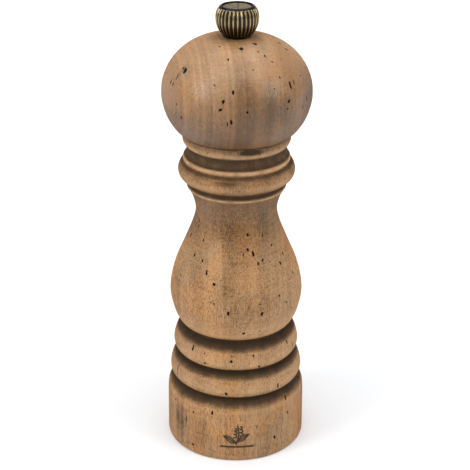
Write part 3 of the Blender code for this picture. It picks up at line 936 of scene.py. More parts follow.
@dataclass
class MillBody(TurnedWood):
    """The body: foot, two bands, bulb, neck, bead, cove and collar, with its bores."""

    top: float = 131.3
    recess: Point = (23.5, 4.8)
    ring_seat: Point = (17.0, 18.2)
    bridge_bore: Point = (15.3, 36.0)
    reservoir: float = 11.6
    mark: BurntMark = field(default_factory=BurntMark)

    def section(self) -> np.ndarray:
        """Collar, cove, lip, bead, neck and bulb, bands and foot, then the stepped bore.

        Returns:
            Radius and height of each corner of the closed section, shape (n, 2), in mm.
        """
        runs = [
            [(20.3, self.top), (20.75, 130.9), (20.85, 129.6), (20.5, 128.0), (19.75, 127.0)],
            [(19.75, 127.0), (19.4, 126.0), (19.25, 124.8), (19.5, 123.5), (20.1, 122.4)],
            [(20.1, 122.4), (20.6, 121.8), (20.65, 121.0), (20.35, 120.45)],
            [(20.35, 120.45), (21.5, 119.6), (22.35, 117.9), (22.6, 116.2), (22.1, 114.4), (20.9, 113.0)],
            [(20.9, 113.0), (19.4, 112.2), (18.6, 111.4), (18.6, 110.7), (19.4, 109.85)],
            [
                (19.4, 109.85),
                (17.3, 106.2),
                (15.9, 100.2),
                (17.0, 94.4),
                (20.2, 86.3),
                (24.4, 76.0),
                (26.35, 65.9),
                (25.1, 58.1),
                (23.4, 53.9),
                (22.0, 52.2),
            ],
            [(22.0, 52.2), (20.9, 51.4), (20.7, 50.6), (21.6, 50.1), (23.2, 49.1)],
            [(23.2, 49.1), (24.4, 46.4), (25.1, 43.3), (25.0, 41.6), (24.4, 40.2), (23.5, 39.7)],
            [(23.5, 39.7), (22.5, 39.1), (22.3, 38.5), (23.0, 38.1), (24.5, 37.5)],
            [(24.5, 37.5), (25.9, 34.8), (26.6, 31.6), (26.5, 29.8), (25.9, 28.6), (25.0, 28.2)],
            [(25.0, 28.2), (24.0, 27.6), (23.8, 27.0), (24.6, 26.5), (26.1, 25.5)],
            [(26.1, 25.5), (27.2, 23.6), (27.8, 20.6), (27.95, 12.0), (28.0, 1.0)],
            [(28.0, 1.0), (27.8, 0.3), (27.1, 0.0)],
        ]
        bores = [
            (self.recess[0], 0.0),
            self.recess,
            (self.ring_seat[0], self.recess[1]),
            self.ring_seat,
            (self.bridge_bore[0], self.ring_seat[1]),
            self.bridge_bore,
            (self.reservoir, self.bridge_bore[1] + 3.0),
            (self.reservoir, self.top - 0.6),
            (self.reservoir + 0.6, self.top),
        ]
        return np.vstack([*[flowing(run)[:-1] for run in runs], bores])

    def outside(self, radius: np.ndarray, height: np.ndarray) -> np.ndarray:
        """The outer side is everything beyond the bores' walls."""
        wall = along(height, [(0.0, 24.5), (5.0, 24.0), (6.0, 18.5), (20.0, 18.5), (40.0, 14.0), (131.3, 13.0)])
        return (radius > wall).astype(float)

    def worm_holes(self) -> WormHoles:
        """Holes in the bulb, the bands, the foot and the collar.

        Returns:
            The body's worm holes.
        """
        bulb = [
            (-6.5, 66.3, 0.42, 0.55), (22.5, 65.3, 0.40, 0.55), (21, 69.4, 0.20, 0.3), (7, 56.7, 0.38, 0.5),
            (-20.5, 77, 0.38, 0.5), (-30, 80.5, 0.28, 0.7), (-19, 69.6, 0.18, 0.25), (-22, 70, 0.17, 0.2),
            (-38, 84.2, 0.24, 0.45), (-51, 85, 0.30, 0.55), (-44, 91.3, 0.26, 0.45), (-62, 97.2, 0.22, 0.45),
            (-60, 95.2, 0.2, 0.4), (-72, 90, 0.25, 0.6), (-62, 75.5, 0.22, 0.3), (-74, 80, 0.22, 0.45),
            (15, 95, 0.28, 0.55), (13.5, 89.7, 0.32, 0.5), (19.5, 88, 0.36, 0.75), (23.5, 84.3, 0.28, 0.42),
            (29.5, 85.3, 0.30, 0.38), (46, 89.4, 0.26, 0.38), (60, 84.6, 0.24, 0.6), (51, 82, 0.34, 0.6),
            (66, 76, 0.24, 0.55), (40.5, 70.8, 0.30, 0.36), (48.5, 66.8, 0.26, 0.34), (22, 57, 0.18, 0.25),
            (8, 88.2, 0.13, 0.7), (38, 84, 0.18, 0.25), (56, 63, 0.18, 0.25), (36, 94, 0.16, 0.4),
        ]
        bands = [
            (-44, 46.3, 0.32, 0.85), (-30, 46, 0.20, 0.22), (-29, 41.9, 0.40, 0.30), (-4, 44.3, 0.36, 0.48),
            (16.5, 46.2, 0.26, 0.34), (22, 41.1, 0.36, 0.36), (57, 46.8, 0.26, 0.5), (66, 44, 0.18, 0.8),
            (-47.5, 35.2, 0.26, 0.5), (-63, 34, 0.2, 0.45), (-62, 31.5, 0.2, 0.45), (-8, 30.5, 0.42, 0.42),
            (39.5, 31, 0.32, 0.7),
        ]
        foot = [
            (48, 24, 0.30, 0.75), (-19.5, 21.5, 0.30, 0.7), (-37, 19.4, 0.22, 0.4), (49, 17, 0.24, 0.5),
            (34.5, 8.2, 0.38, 0.5), (-38, 3.9, 0.36, 0.36), (18, 15.5, 0.15, 0.45), (-62, 19.8, 0.2, 0.45),
            (-45, 14.5, 0.15, 1.4), (75, 27, 0.2, 0.4), (24, 129, 0.2, 0.26), (-31, 128.9, 0.15, 0.2),
        ]
        return WormHoles([*bulb, *bands, *foot], scattered=76, seed=11, span=(2.0, 96.0))

    def cut_details(self, mesh: bpy.types.Mesh, line: np.ndarray) -> dict[str, np.ndarray]:
        """Presses the burnt mark in, then cuts the worm holes, which keep clear of it.

        Args:
            mesh: the turned body, which is changed.
            line: the outer section's radius and height, shape (n, 2).

        Returns:
            The hole and burn marks, each of shape (n,).
        """
        burnt = self.mark.burn(mesh)
        before = len(mesh.vertices)
        hole = self.worm_holes().bore(mesh, line)
        return {"hole": hole, "burn": np.append(burnt, np.zeros(len(mesh.vertices) - before))}

    def marks(self, angle: np.ndarray, height: np.ndarray) -> dict[str, np.ndarray]:
        """Stain in every groove and cove, a grey wash at the neck, rubbed edges, and painted shading: painted shade
        at the neck under the bead and at the collar under the ball, with lighter and darker patches over the bulb and
        the foot.

        Args:
            angle: degrees round the axis, 0 at the front and positive to the right, shape (n,).
            height: mm, shape (n,).

        Returns:
            The stain, wash, worn and painted shading marks, each of shape (n,).
        """
        groove_stops = [
            (21.6, 0.0), (22.9, 0.20), (24.1, 0.58), (25.5, 0.95), (28.3, 1.1), (28.9, 0.5), (29.6, 0.14),
            (30.6, 0.0), (34.4, 0.0), (35.4, 0.30), (36.4, 0.75), (37.5, 1.0), (39.7, 1.1), (40.3, 0.5),
            (41.0, 0.14), (42.0, 0.0), (46.4, 0.0), (47.2, 0.30), (48.2, 0.75), (49.2, 1.0), (52.0, 1.1),
            (52.6, 0.5), (53.4, 0.12), (54.6, 0.0),
            (94.0, 0.0), (101.0, 0.10), (108.6, 0.22), (109.4, 0.05), (110.0, 0.05), (110.3, 0.9), (112.0, 1.0),
            (113.2, 0.55), (114.4, 0.1), (116.2, 0.05), (117.6, 0.22), (118.8, 0.42), (119.6, 0.8),
            (120.2, 0.9), (120.6, 0.1), (121.9, 0.05), (122.5, 0.95), (124.0, 0.82), (126.6, 1.0),
            (127.3, 0.1), (128.0, 0.05), (129.4, 0.28), (131.3, 0.55),
        ]
        stain = along(height, groove_stops)
        stain = np.maximum(stain, 1.8 * blot(angle, height, (14.0, 129.9), (13.0, 1.1)))
        stain = np.maximum(stain, 0.8 * blot(angle, height, (-9.0, 118.2), (20.0, 1.3)))
        streaks = [(-57, 13, 4.0, 8, 0.65), (-50.5, 12, 2.4, 9, 0.62), (-45.5, 15, 1.6, 4.5, 0.6)]
        stain += blots(angle, height, [*streaks, (15, 66.8, 4, 2.4, 0.25)])
        # Greyer at the neck under the bead and in patches over the foot and the bulb.
        wash = along(height, [(90.0, 0.0), (98.0, 0.2), (103.0, 0.6), (108.0, 0.7), (109.6, 0.4), (110.0, 0.0)])
        wash += blots(angle, height, [(-55, 11, 8, 10, 0.9), (34, 10, 13, 11, 0.75), (72, 12, 14, 12, 0.7)])
        wash += blots(angle, height, [(-38, 78, 9, 12, 0.5), (-60, 72, 10, 14, 0.4), (45, 60, 20, 8, 0.5)])
        worn_stops = [
            (21.0, 0.0), (22.5, 0.25), (23.5, 0.0), (30.0, 0.0), (31.0, 0.5), (33.0, 0.3), (34.4, 0.1),
            (41.0, 0.1), (42.2, 0.5), (44.5, 0.3), (46.4, 0.1), (53.0, 0.1), (54.4, 0.8), (57.0, 0.5), (61.0, 0.0),
            (108.9, 0.0), (109.6, 1.2), (110.2, 0.3), (110.4, 0.0), (114.0, 0.1), (115.6, 0.45), (117.0, 0.0),
            (120.5, 0.1), (121.0, 1.2), (122.0, 1.1), (122.4, 0.0), (126.8, 0.0), (127.4, 1.1), (128.2, 0.7),
            (129.2, 0.2), (130.0, 0.0),
        ]
        # Painted shade: darker from the upper bulb into the neck under the bead, and at the collar under the ball.
        painted_shading_stops = [
            (58.0, 0.0), (78.0, 0.0), (88.0, 0.18), (97.0, 0.68), (108.0, 0.66), (112.0, 0.3), (131.0, 0.4),
        ]
        shade = along(height, painted_shading_stops)
        # Darker and lighter patches over the bulb and the foot.
        darker = [(-9, 78, 5, 12, 0.22), (3, 92, 12, 7, 0.12), (8, 66, 16, 5, 0.2), (-6, 96, 20, 5, 0.15)]
        shade += blots(angle, height, darker)
        shade += blots(angle, height, [(-35, 64, 14, 8, -0.35), (40, 58, 24, 6, -0.45), (-22, 87, 8, 7, -0.45)])
        shade += blots(angle, height, [(0, 20, 24, 4, -0.35), (-32, 12, 10, 8, 0.15), (30, 36, 30, 5, -0.15)])
        worn = along(height, worn_stops)
        return {"stain": stain, "wash": np.clip(wash, 0.0, 1.0), "worn": worn, "shade": shade}


@dataclass
class MillHead(TurnedWood):
    """The ball head with its tenon, bore and washer recess."""

    bottom: float = 131.6
    seat: float = 168.2
    tenon: Point = (11.2, 117.5)
    bore: float = 4.3
    washer_recess: Point = (5.0, 0.9)

    def section(self) -> np.ndarray:
        """Ball from its flat seat down to the shoulder, then the tenon and the bore.

        Returns:
            Radius and height of each corner of the closed section, shape (n, 2), in mm.
        """
        ball = flowing(
            [
                (5.0, self.seat + 0.2),
                (10.9, 167.9),
                (16.3, 166.0),
                (21.2, 162.8),
                (25.3, 158.1),
                (27.9, 152.2),
                (28.48, 147.2),
                (28.1, 143.3),
                (26.5, 138.3),
                (24.0, 134.2),
                (21.9, 132.0),
                (21.2, self.bottom),
            ]
        )
        recess_floor = self.seat - self.washer_recess[1]
        inner = [
            (self.tenon[0], self.bottom),
            (self.tenon[0], self.tenon[1] + 0.8),
            (self.tenon[0] - 0.8, self.tenon[1]),
            (self.bore, self.tenon[1]),
            (self.bore, recess_floor),
            (self.washer_recess[0], recess_floor),
        ]
        return np.vstack([ball, inner])

    def outside(self, radius: np.ndarray, height: np.ndarray) -> np.ndarray:
        """Only the ball is outside: the tenon and the bore are not."""
        wall = along(height, [(117.0, 40.0), (131.4, 40.0), (131.7, 12.0), (160.0, 6.0), (169.0, 4.9)])
        return (radius > wall).astype(float)

    def worm_holes(self) -> WormHoles:
        """Holes in the ball.

        Returns:
            The head's worm holes.
        """
        front = [
            (-3, 155.3, 0.36, 0.5), (-10, 152.1, 0.40, 0.5), (-12, 149.1, 0.40, 0.45), (7.5, 148.4, 0.30, 0.42),
            (-4, 144.7, 0.28, 0.9), (-7, 143.7, 0.16, 0.7), (46, 155.6, 0.34, 1.0), (51, 156, 0.18, 0.6),
            (41.5, 150.3, 0.42, 0.55), (40, 147.6, 0.24, 0.35), (30, 155.5, 0.18, 0.22), (38, 158.7, 0.22, 0.32),
            (-51, 159.7, 0.62, 0.75), (-55, 160.2, 0.30, 0.34), (-57, 157, 0.16, 0.8), (-63, 154.6, 0.24, 0.85),
            (-59, 154.2, 0.22, 0.7), (-50, 148, 0.20, 0.26), (-46, 143.3, 0.24, 0.5), (64, 148.6, 0.24, 0.75),
            (58, 146, 0.16, 0.5), (63, 157, 0.2, 0.26), (6.5, 167.3, 0.50, 0.75), (36, 167.9, 0.50, 0.7),
            (-10, 164.8, 0.26, 0.34), (-30, 167.5, 0.22, 0.3), (82, 166.3, 0.40, 0.5), (34, 165.2, 0.22, 0.4),
            (38, 163.4, 0.20, 0.3), (29, 166.4, 0.2, 0.34), (-18, 157.2, 0.18, 0.24), (15, 162.0, 0.15, 0.2),
        ]
        return WormHoles(front, scattered=44, seed=5, span=(136.0, 166.5))

    def marks(self, angle: np.ndarray, height: np.ndarray) -> dict[str, np.ndarray]:
        """A thin stain line at the lower edge, the ball greyer and darker underneath as partly painted shade, a
        painted highlight tint at its sides, a crown that is lighter as partly wear and partly painted light, and
        painted shading.

        Args:
            angle: degrees round the axis, 0 at the front and positive to the right, shape (n,).
            height: mm, shape (n,).

        Returns:
            The stain, wash, worn and painted shading marks, each of shape (n,).
        """
        stain = along(height, [(131.4, 0.75), (132.0, 0.45), (132.8, 0.12), (134.0, 0.0)])
        stain += blots(angle, height, [(-52, 160, 3.2, 1.5, 0.55), (-56, 158, 2.4, 2.2, 0.4), (6, 142.5, 9, 3, 0.25)])
        # Painted shadow: a ring of stain darkening the ball's top round the knob's foot, under the knob's overhang.
        stain += along(height, [(167.4, 0.0), (167.9, 0.25), (168.4, 0.5)])
        # Greyer and darker under the ball: partly painted shade. The two patches at the sides are a painted highlight
        # tint where the side lights reflect.
        wash = along(height, [(131.5, 0.3), (135.0, 0.2), (140.0, 0.0)])
        wash += blots(angle, height, [(-30, 154, 14, 7, 0.15), (30, 156, 16, 6, 0.2)])
        # Lighter towards the crown: partly rubbed wear, partly painted light on the top of the ball.
        worn = along(height, [(150.0, 0.0), (158.0, 0.15), (166.0, 0.3), (169.0, 0.2)])
        # Painted shading: painted shade darkening the ball towards its bottom and on its right, and painted
        # highlights lightening its left.
        painted_shading_stops = [
            (131.5, 1.0), (138.0, 0.98), (143.0, 0.85), (148.0, 0.60), (154.0, 0.30), (160.0, 0.10),
            (165.0, -0.05), (169.0, -0.15),
        ]
        shade = along(height, painted_shading_stops)
        shade += blots(angle, height, [(4, 153, 17, 10, 0.45), (68, 152, 22, 16, 0.50), (24, 148, 18, 6, 0.35)])
        shade += blots(angle, height, [(-36, 151, 16, 9, -0.2), (-66, 150, 14, 12, -0.2), (-24, 162, 22, 6, -0.1)])
        return {"stain": stain, "wash": np.clip(wash, 0.0, 1.0), "worn": worn, "shade": shade}


# ---- Knob ---------------------------------------------------------------------------------------------------
@dataclass
class FlutedKnob:
    """The brass adjusting knob: a ball with ribs between grooves under a smooth rim painted near-black as a dark
    reflection, and a dished cap.
    """

    ribs: int = 30
    per_rib: int = 12
    groove_depth: float = 0.55
    groove_top: float = 179.25
    groove_foot: float = 169.1
    rim: float = 5.75
    turned_by: float = 1.1
    scribe_at: float = 0.25
    scribe_width: float = 0.15
    scribe_depth: float = 0.04
    finish: MetalFinish = field(
        default_factory=lambda: MetalFinish(
            "antique_brass", (0.42, 0.32, 0.17), (0.036, 0.027, 0.017), 0.30, 0.40, reads_hollow=True
        )
    )
    # The smooth rim is painted near-black: a painted reflection of dark surroundings on its polished shoulder.
    rim_finish: MetalFinish = field(
        default_factory=lambda: MetalFinish(
            "near_black_painted_reflection", (0.024, 0.023, 0.024), (0.009, 0.009, 0.009), 0.24, 0.6
        )
    )
    cap_finish: MetalFinish = field(
        default_factory=lambda: MetalFinish(
            "dull_bronze", (0.50, 0.39, 0.25), (0.075, 0.057, 0.042), 0.36, 0.40, reads_hollow=True
        )
    )

    def outline(self) -> np.ndarray:
        """Rim, ball and foot outside, then the socket inside.

        Returns:
            Radius and height of each corner of the closed section, shape (n, 2), in mm.
        """
        outer = flowing(
            [
                (self.rim, 179.95),
                (6.15, 179.9),
                (6.8, 179.35),
                (7.45, 178.4),
                (7.93, 177.1),
                (8.12, 175.5),
                (7.85, 173.3),
                (7.0, 171.1),
                (5.75, 169.4),
                (4.6, 168.5),
            ]
        )
        inner = [(3.0, 168.5), (3.0, 169.5), (4.2, 169.5), (4.2, 178.6), (5.45, 178.6), (5.5, 179.85)]
        return np.vstack([outer, inner])

    def knob(self) -> bpy.types.Object:
        """Cuts the grooves: the radius drops by a rounded wave of the angle, faded at the grooves' two ends. Patina
        in the grooves and painted shade towards the foot share one mark.

        Returns:
            The knob.
        """
        step = 0.08
        line = softened(even_steps(self.outline(), step), step, 0.10)
        line = thinned(line, 120, 0.3 + 0.7 * (line[:, 0] > 4.6), 1.0)
        turn = 2.0 * np.pi * np.arange(self.ribs * self.per_rib) / (self.ribs * self.per_rib)
        wave = 0.5 - 0.5 * np.cos(self.ribs * (turn - math.radians(self.turned_by)))
        rise = np.clip((line[:, 1] - self.groove_foot) / 1.4, 0.0, 1.0)
        fall = np.clip((self.groove_top - line[:, 1]) / 0.45, 0.0, 1.0)
        length = (np.sqrt(rise * fall) * (line[:, 0] > 4.8))[:, None]
        points = carried_round(line, turn, -self.groove_depth * length * wave**0.8)
        # Painted shade: the knob darkens from just under its top down to its foot, under the bulge.
        painted_foot_shade = [(168.5, 0.60), (170.5, 0.42), (173.0, 0.28), (175.0, 0.16), (177.0, 0.04), (178.2, 0.0)]
        lower = along(line[:, 1], painted_foot_shade)[:, None]
        hollow = np.clip(length * wave * 1.25 + lower, 0.0, 1.0)
        piece = grid_mesh("fluted_knob", points)
        finish_mesh(piece.data, {"hollow": hollow.ravel()})
        piece.data.materials.append(self.finish.material())
        piece.data.materials.append(self.rim_finish.material())
        middle = np.empty(len(piece.data.polygons) * 3)
        piece.data.polygons.foreach_get("center", middle)
        in_rim = middle.reshape(-1, 3)[:, 2] > (self.groove_top + 0.05) * MM
        piece.data.polygons.foreach_set("material_index", in_rim.astype(np.int32))
        return self.fixed(piece, "knob")

    def cap(self) -> bpy.types.Object:
        """Turns a disc dished like a saucer inside the rim, and scribes a line across it.

        Returns:
            The cap.
        """
        dish = [(0.3, 178.98), (1.6, 179.03), (3.0, 179.14), (4.4, 179.32), (5.1, 179.44), (5.35, 179.34)]
        line = np.vstack([flowing(dish, 16), [(5.35, 178.92), (0.3, 178.92)]])
        turn = 2.0 * np.pi * np.arange(360) / 360
        points = carried_round(line, turn)
        scribed = np.exp(-((points[..., 0] - self.scribe_at) / self.scribe_width) ** 2) * (points[..., 2] > 178.95)
        points[..., 2] -= self.scribe_depth * scribed
        piece = grid_mesh("dished_cap", points, closed_rows=False)
        finish_mesh(piece.data, {"hollow": np.append(0.9 * scribed.ravel(), [0.4, 0.0])})
        piece.data.materials.append(self.cap_finish.material())
        return self.fixed(piece, "knob_cap")

    @staticmethod
    def fixed(piece: bpy.types.Object, node: str) -> bpy.types.Object:
        """Fixes a piece to the adjuster.

        Args:
            piece: the finished piece.
            node: the frame's node that it stands for.

        Returns:
            The piece.
        """
        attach(piece, "adjuster")
        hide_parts(node)
        return piece

    def build(self) -> list[bpy.types.Object]:
        """Builds the knob and its cap. Returns both."""
        return [self.knob(), self.cap()]


# ---- Works --------------------------------------------------------------------------------------------------
@dataclass(frozen=True)
class Shaping:
    """How far a turned metal piece's radius departs from round, over its rows and columns."""

    def lift(self, line: np.ndarray, turn: np.ndarray) -> np.ndarray:
        """What is added to the radius of each row and column. Returns shape (rows, columns)."""
        return np.zeros((len(line), len(turn)))


def squared(half: Point, turn: np.ndarray, corner: float = 14.0) -> np.ndarray:
    """Radius of a rectangle with eased corners at each angle.

    Args:
        half: half its width and half its depth, in mm.
        turn: angles in radians, 0 at the front, shape (n,).
        corner: a larger number gives a sharper corner.

    Returns:
        Array of shape (n,).
    """
    across, deep = np.abs(np.sin(turn)) / half[0], np.abs(np.cos(turn)) / half[1]
    return (across**corner + deep**corner) ** (-1.0 / corner)


@dataclass(frozen=True)
class SquareHole(Shaping):
    """Squares every row of the hole through a piece."""

    half: float = 2.6

    def lift(self, line: np.ndarray, turn: np.ndarray) -> np.ndarray:
        """Rows at the hole's radius go out to a square. Returns shape (rows, columns)."""
        share = 1.0 - smooth_step(line[:, 0:1], self.half + 0.05, self.half + 0.6)
        return share * (squared((self.half, self.half), turn) - self.half)


@dataclass(frozen=True)
class ConeTeeth(SquareHole):
    """Fine slanted teeth round the skirt and six helical feed ridges on the neck, over the square hole."""

    teeth: int = 24
    ridges: int = 6
    skirt: float = 12.0

    def lift(self, line: np.ndarray, turn: np.ndarray) -> np.ndarray:
        """Cuts the teeth and ridges inwards from the outline.

        Args:
            line: radius and height of each row, in mm, shape (rows, 2).
            turn: angle of each column in radians, 0 at the front, shape (columns,).

        Returns:
            What is added to the radius, shape (rows, columns).
        """
        height = line[:, 1:2]
        fine = -0.30 * (1.0 - np.cos(self.teeth * turn + 0.5 * (height - 9.0)))
        coarse = -0.80 * (1.0 - np.cos(self.ridges * turn + 0.55 * (height - self.skirt)))
        neck = smooth_step(height, self.skirt - 0.5, self.skirt + 0.5)
        cut = smooth_step(height, 7.0, 7.8) * (1.0 - smooth_step(height, 20.2, 21.4))
        outside = smooth_step(line[:, 0:1], 5.4, 6.4)
        return outside * cut * (fine * (1.0 - neck) + coarse * neck) + super().lift(line, turn)


@dataclass(frozen=True)
class RingTeeth(Shaping):
    """Slanted teeth on the burr ring's inner side."""

    teeth: int = 24

    def lift(self, line: np.ndarray, turn: np.ndarray) -> np.ndarray:
        """Cuts the teeth outwards from the bore. Returns shape (rows, columns)."""
        inside = (1.0 - smooth_step(line[:, 0:1], 14.2, 15.2)) * (1.0 - smooth_step(line[:, 1:2], 15.8, 16.3))
        return inside * 0.30 * (1.0 - np.cos(self.teeth * turn - 0.5 * (line[:, 1:2] - 9.0)))


@dataclass(frozen=True)
class SquareShaft(Shaping):
    """Square between two heights, with a right-handed screw thread above."""

    half: float = 2.3
    square: Point = (7.4, 147.6)
    thread: Point = (149.0, 175.8)
    pitch: float = 0.8
    depth: float = 0.36

    def lift(self, line: np.ndarray, turn: np.ndarray) -> np.ndarray:
        """Squares the middle, and cuts the thread at the top as a wave of the height less the angle.

        Args:
            line: radius and height of each row, in mm, shape (rows, 2).
            turn: angle of each column in radians, 0 at the front, shape (columns,).

        Returns:
            What is added to the radius, shape (rows, columns).
        """
        radius, height = line[:, 0:1], line[:, 1:2]
        middle = smooth_step(height, *(self.square[0] + np.array([-0.4, 0.4])))
        middle = middle * (1.0 - smooth_step(height, *(self.square[1] + np.array([-0.4, 0.4]))))
        wave = 0.5 - 0.5 * np.cos(2.0 * np.pi * height / self.pitch - turn)
        screwed = smooth_step(height, self.thread[0] - 0.8, self.thread[0])
        screwed = screwed * (1.0 - smooth_step(height, self.thread[1] - 0.3, self.thread[1]))
        return middle * (squared((self.half, self.half), turn) - radius) - screwed * self.depth * wave


@dataclass(frozen=True)
class BarShape(Shaping):
    """Stretches a disc's rim to a long bar with round corners. Its hole stays round."""

    half: Point = (22.5, 5.0)

    def lift(self, line: np.ndarray, turn: np.ndarray) -> np.ndarray:
        """Rows further out than the hole go out to the bar's side.

        Args:
            line: radius and height of each row, in mm, shape (rows, 2).
            turn: angle of each column in radians, 0 at the front, shape (columns,).

        Returns:
            What is added to the radius, shape (rows, columns).
        """
        radius = line[:, 0:1]
        share = smooth_step(radius, 2.6, 3.4)
        return share * radius * (squared(self.half, turn, 6.0) / self.half[1] - 1.0)


@dataclass(frozen=True)
class TurnedMetal:
    """A steel piece of the works, turned and then shaped."""

    name: str
    node: str
    body: str
    slot: str
    outline: tuple[Point, ...]
    shaping: Shaping = Shaping()
    columns: int = 96
    step: float = 0.4
    at: float = 0.0
    through: bool = True
    slot_face: float | None = None
    slot_half: Point = (1.5, 0.3)
    slot_depth: float = 0.75
    edge_radius: float = 0.05
    sharp_deg: float = 32.0

    def build(self) -> bpy.types.Object:
        """Turns and shapes the piece, cuts a cross slot if it has one, and fixes it to its body.

        Returns:
            The piece.
        """
        line = even_steps(np.array(self.outline, float), self.step / 4.0)
        if self.through:
            line = softened(line, self.step / 4.0, self.edge_radius)[::4]
        else:
            line = line[: np.argmin(line[:, 1]) + 1]
        turn = 2.0 * np.pi * np.arange(self.columns) / self.columns
        points = carried_round(line, turn, self.shaping.lift(line, turn))
        if self.slot_face is not None:
            across, deep = np.abs(points[..., 0]), np.abs(points[..., 1])
            long, thin = self.slot_half
            cross = ((across < thin) & (deep < long)) | ((deep < thin) & (across < long))
            points[..., 2] += self.slot_depth * (cross & (points[..., 2] < self.slot_face))
        points[..., 0] += self.at
        piece = grid_mesh(self.name, points, closed_rows=self.through)
        finish_mesh(piece.data, {}, self.sharp_deg)
        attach(piece, self.body)
        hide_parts(self.node)
        return piece


@dataclass(frozen=True)
class CoilSpring:
    """The compression spring between the bush and the cone's washer, with room for the shaft's travel."""

    mean: float = 5.0
    wire: float = 0.45
    turns: float = 4.5
    span: Point = (23.5, 30.15)

    def build(self) -> bpy.types.Object:
        """Carries a small circle along a helix whose end turns lie closer together.

        Returns:
            The spring.
        """
        share = np.linspace(0.0, 1.0, 220)[:, None]
        rise = self.span[0] + (self.span[1] - self.span[0]) * (0.65 * share + 0.35 * smooth_step(share, 0.0, 1.0))
        turn = 2.0 * np.pi * self.turns * share
        round_wire = 2.0 * np.pi * np.arange(12) / 12
        radius = self.mean + self.wire * np.cos(round_wire)
        height = rise + self.wire * np.sin(round_wire)
        piece = grid_mesh("coil", np.stack([radius * np.cos(turn), radius * np.sin(turn), height], axis=-1), False)
        finish_mesh(piece.data, {}, 60.0)
        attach(piece, "bush")
        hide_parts("spring")
        return piece


@dataclass
class Works:
    """The steel and brass pieces inside: the ones that show are turned finely, the rest keep the frame's shapes."""

    metals: dict[str, Metal] = field(
        default_factory=lambda: {
            "burr_ring": Metal.HARDENED_STEEL,
            "grinding_cone": Metal.HARDENED_STEEL,
            "bridge": Metal.ZINC_STEEL,
            "retaining_bar": Metal.ZINC_STEEL,
            "bar_screw_left": Metal.ZINC_STEEL,
            "bar_screw_right": Metal.ZINC_STEEL,
            "drive_shaft": Metal.ZINC_STEEL,
            "drive_plate": Metal.ZINC_STEEL,
            "plate_screw_left": Metal.ZINC_STEEL,
            "plate_screw_right": Metal.ZINC_STEEL,
            "spring_washer": Metal.ZINC_STEEL,
            "spring": Metal.SPRING_STEEL,
            "cone_clip": Metal.SPRING_STEEL,
            "shaft_bush": Metal.BRASS,
            "head_washer": Metal.BRASS,
            "knob_insert": Metal.BRASS,
        }
    )

    def fine_pieces(self) -> list[TurnedMetal]:
        """Outlines the burrs, shaft, drive plate, retaining bar and screws.

        Returns:
            Those pieces, not yet built.
        """
        ring = (
            (16.6, 16.4), (16.6, 5.1), (12.6, 5.1), (12.0, 7.0), (11.4, 9.4), (11.8, 11.4), (12.8, 13.8),
            (13.9, 16.4),
        )
        cone = (
            (2.6, 21.6), (6.6, 21.6), (6.9, 20.8), (7.6, 18.4), (8.5, 15.9), (9.4, 13.4), (10.1, 11.2), (10.7, 9.2),
            (11.4, 7.5), (11.4, 7.0), (2.6, 7.0),
        )
        shaft = (
            (0.3, 176.4), (1.9, 176.4), (2.4, 175.9), (2.4, 148.0), (2.3, 147.9), (2.3, 7.0), (2.1, 6.9), (2.1, 6.5),
            (1.7, 6.5), (1.7, 5.1), (2.1, 5.1), (2.1, 2.7), (1.6, 2.2), (0.3, 2.2),
        )
        plate = ((9.8, 117.2), (9.8, 116.0), (2.6, 116.0), (2.6, 117.2))
        bar = ((5.0, 4.5), (5.0, 3.3), (2.4, 3.3), (2.4, 4.5))
        hard, zinc = "hardened_steel", "zinc_steel"
        pieces = [
            TurnedMetal("toothed_ring", "burr_ring", "base", hard, ring, RingTeeth(), columns=288, step=0.3),
            TurnedMetal("toothed_cone", "grinding_cone", "shaft", hard, cone, ConeTeeth(), columns=288, step=0.3),
            TurnedMetal("screwed_shaft", "drive_shaft", "shaft", zinc, shaft, SquareShaft(), 64, 0.48, through=False),
            TurnedMetal("square_holed_plate", "drive_plate", "top", zinc, plate, SquareHole(), 160, 0.24),
            TurnedMetal("long_bar", "retaining_bar", "base", zinc, bar, BarShape(), columns=360, step=0.24),
        ]
        screws = (("bar", "base", 20.0, 3.0, 2.4, 1.1, 13.0), ("plate", "top", 7.0, 115.7, 2.2, 1.0, 9.0))
        for side, way in (("left", -1.0), ("right", 1.0)):
            for kind, body, at, under, head, shank, length in screws:
                outline = (
                    (0.02, under + length), (shank * 0.6, under + length - 1.6), (shank, under + length - 2.6),
                    (shank, under), (head, under), (head, under - 0.6), (head * 0.7, under - 1.3),
                    (0.02, under - 1.4),
                )
                name = f"{kind}_screw_{side}"
                slotted = {"at": way * at, "through": False, "slot_face": under - 1.0}
                pieces.append(TurnedMetal("fine_" + name, name, body, zinc, outline, **slotted))
        return pieces

    def build(self, nodes: dict[str, bpy.types.Object]) -> list[bpy.types.Object]:
        """Builds the fine pieces and gives every piece of the works its metal.

        Args:
            nodes: the frame's nodes by name.

        Returns:
            The fine pieces.
        """
        fine = {piece.node: piece.build() for piece in self.fine_pieces()}
        fine["spring"] = CoilSpring().build()
        made: dict[Metal, bpy.types.Material] = {}
        for node, metal in self.metals.items():
            if metal not in made:
                bright, dull, polish, tarnish = metal.value
                made[metal] = MetalFinish(metal.name.lower(), bright, dull, polish, tarnish).material()
            for item in (nodes[node], fine.get(node)):
                if item:
                    item.data.materials.clear()
                    item.data.materials.append(made[metal])
            LOG.info("%s: %s", node, metal.name.lower())
        return list(fine.values())


# ---- Studio -------------------------------------------------------------------------------------------------
@dataclass
class StudioLight:
    """A broad, far light: every point of the mill and the floor gets it from the same side."""

    name: str
    towards: tuple[float, float, float]
    strength: float
    spread_deg: float

    def build(self) -> bpy.types.Object:
        """Adds the light.

        Returns:
            The light's object.
        """
        light = bpy.data.lights.new(self.name, "SUN")
        light.energy = self.strength
        light.angle = math.radians(self.spread_deg)
        item = bpy.data.objects.new(self.name, light)
        item.location = Vector(self.towards)
        item.rotation_euler = (-Vector(self.towards)).to_track_quat("-Z", "Y").to_euler()
        bpy.context.scene.collection.objects.link(item)
        return item


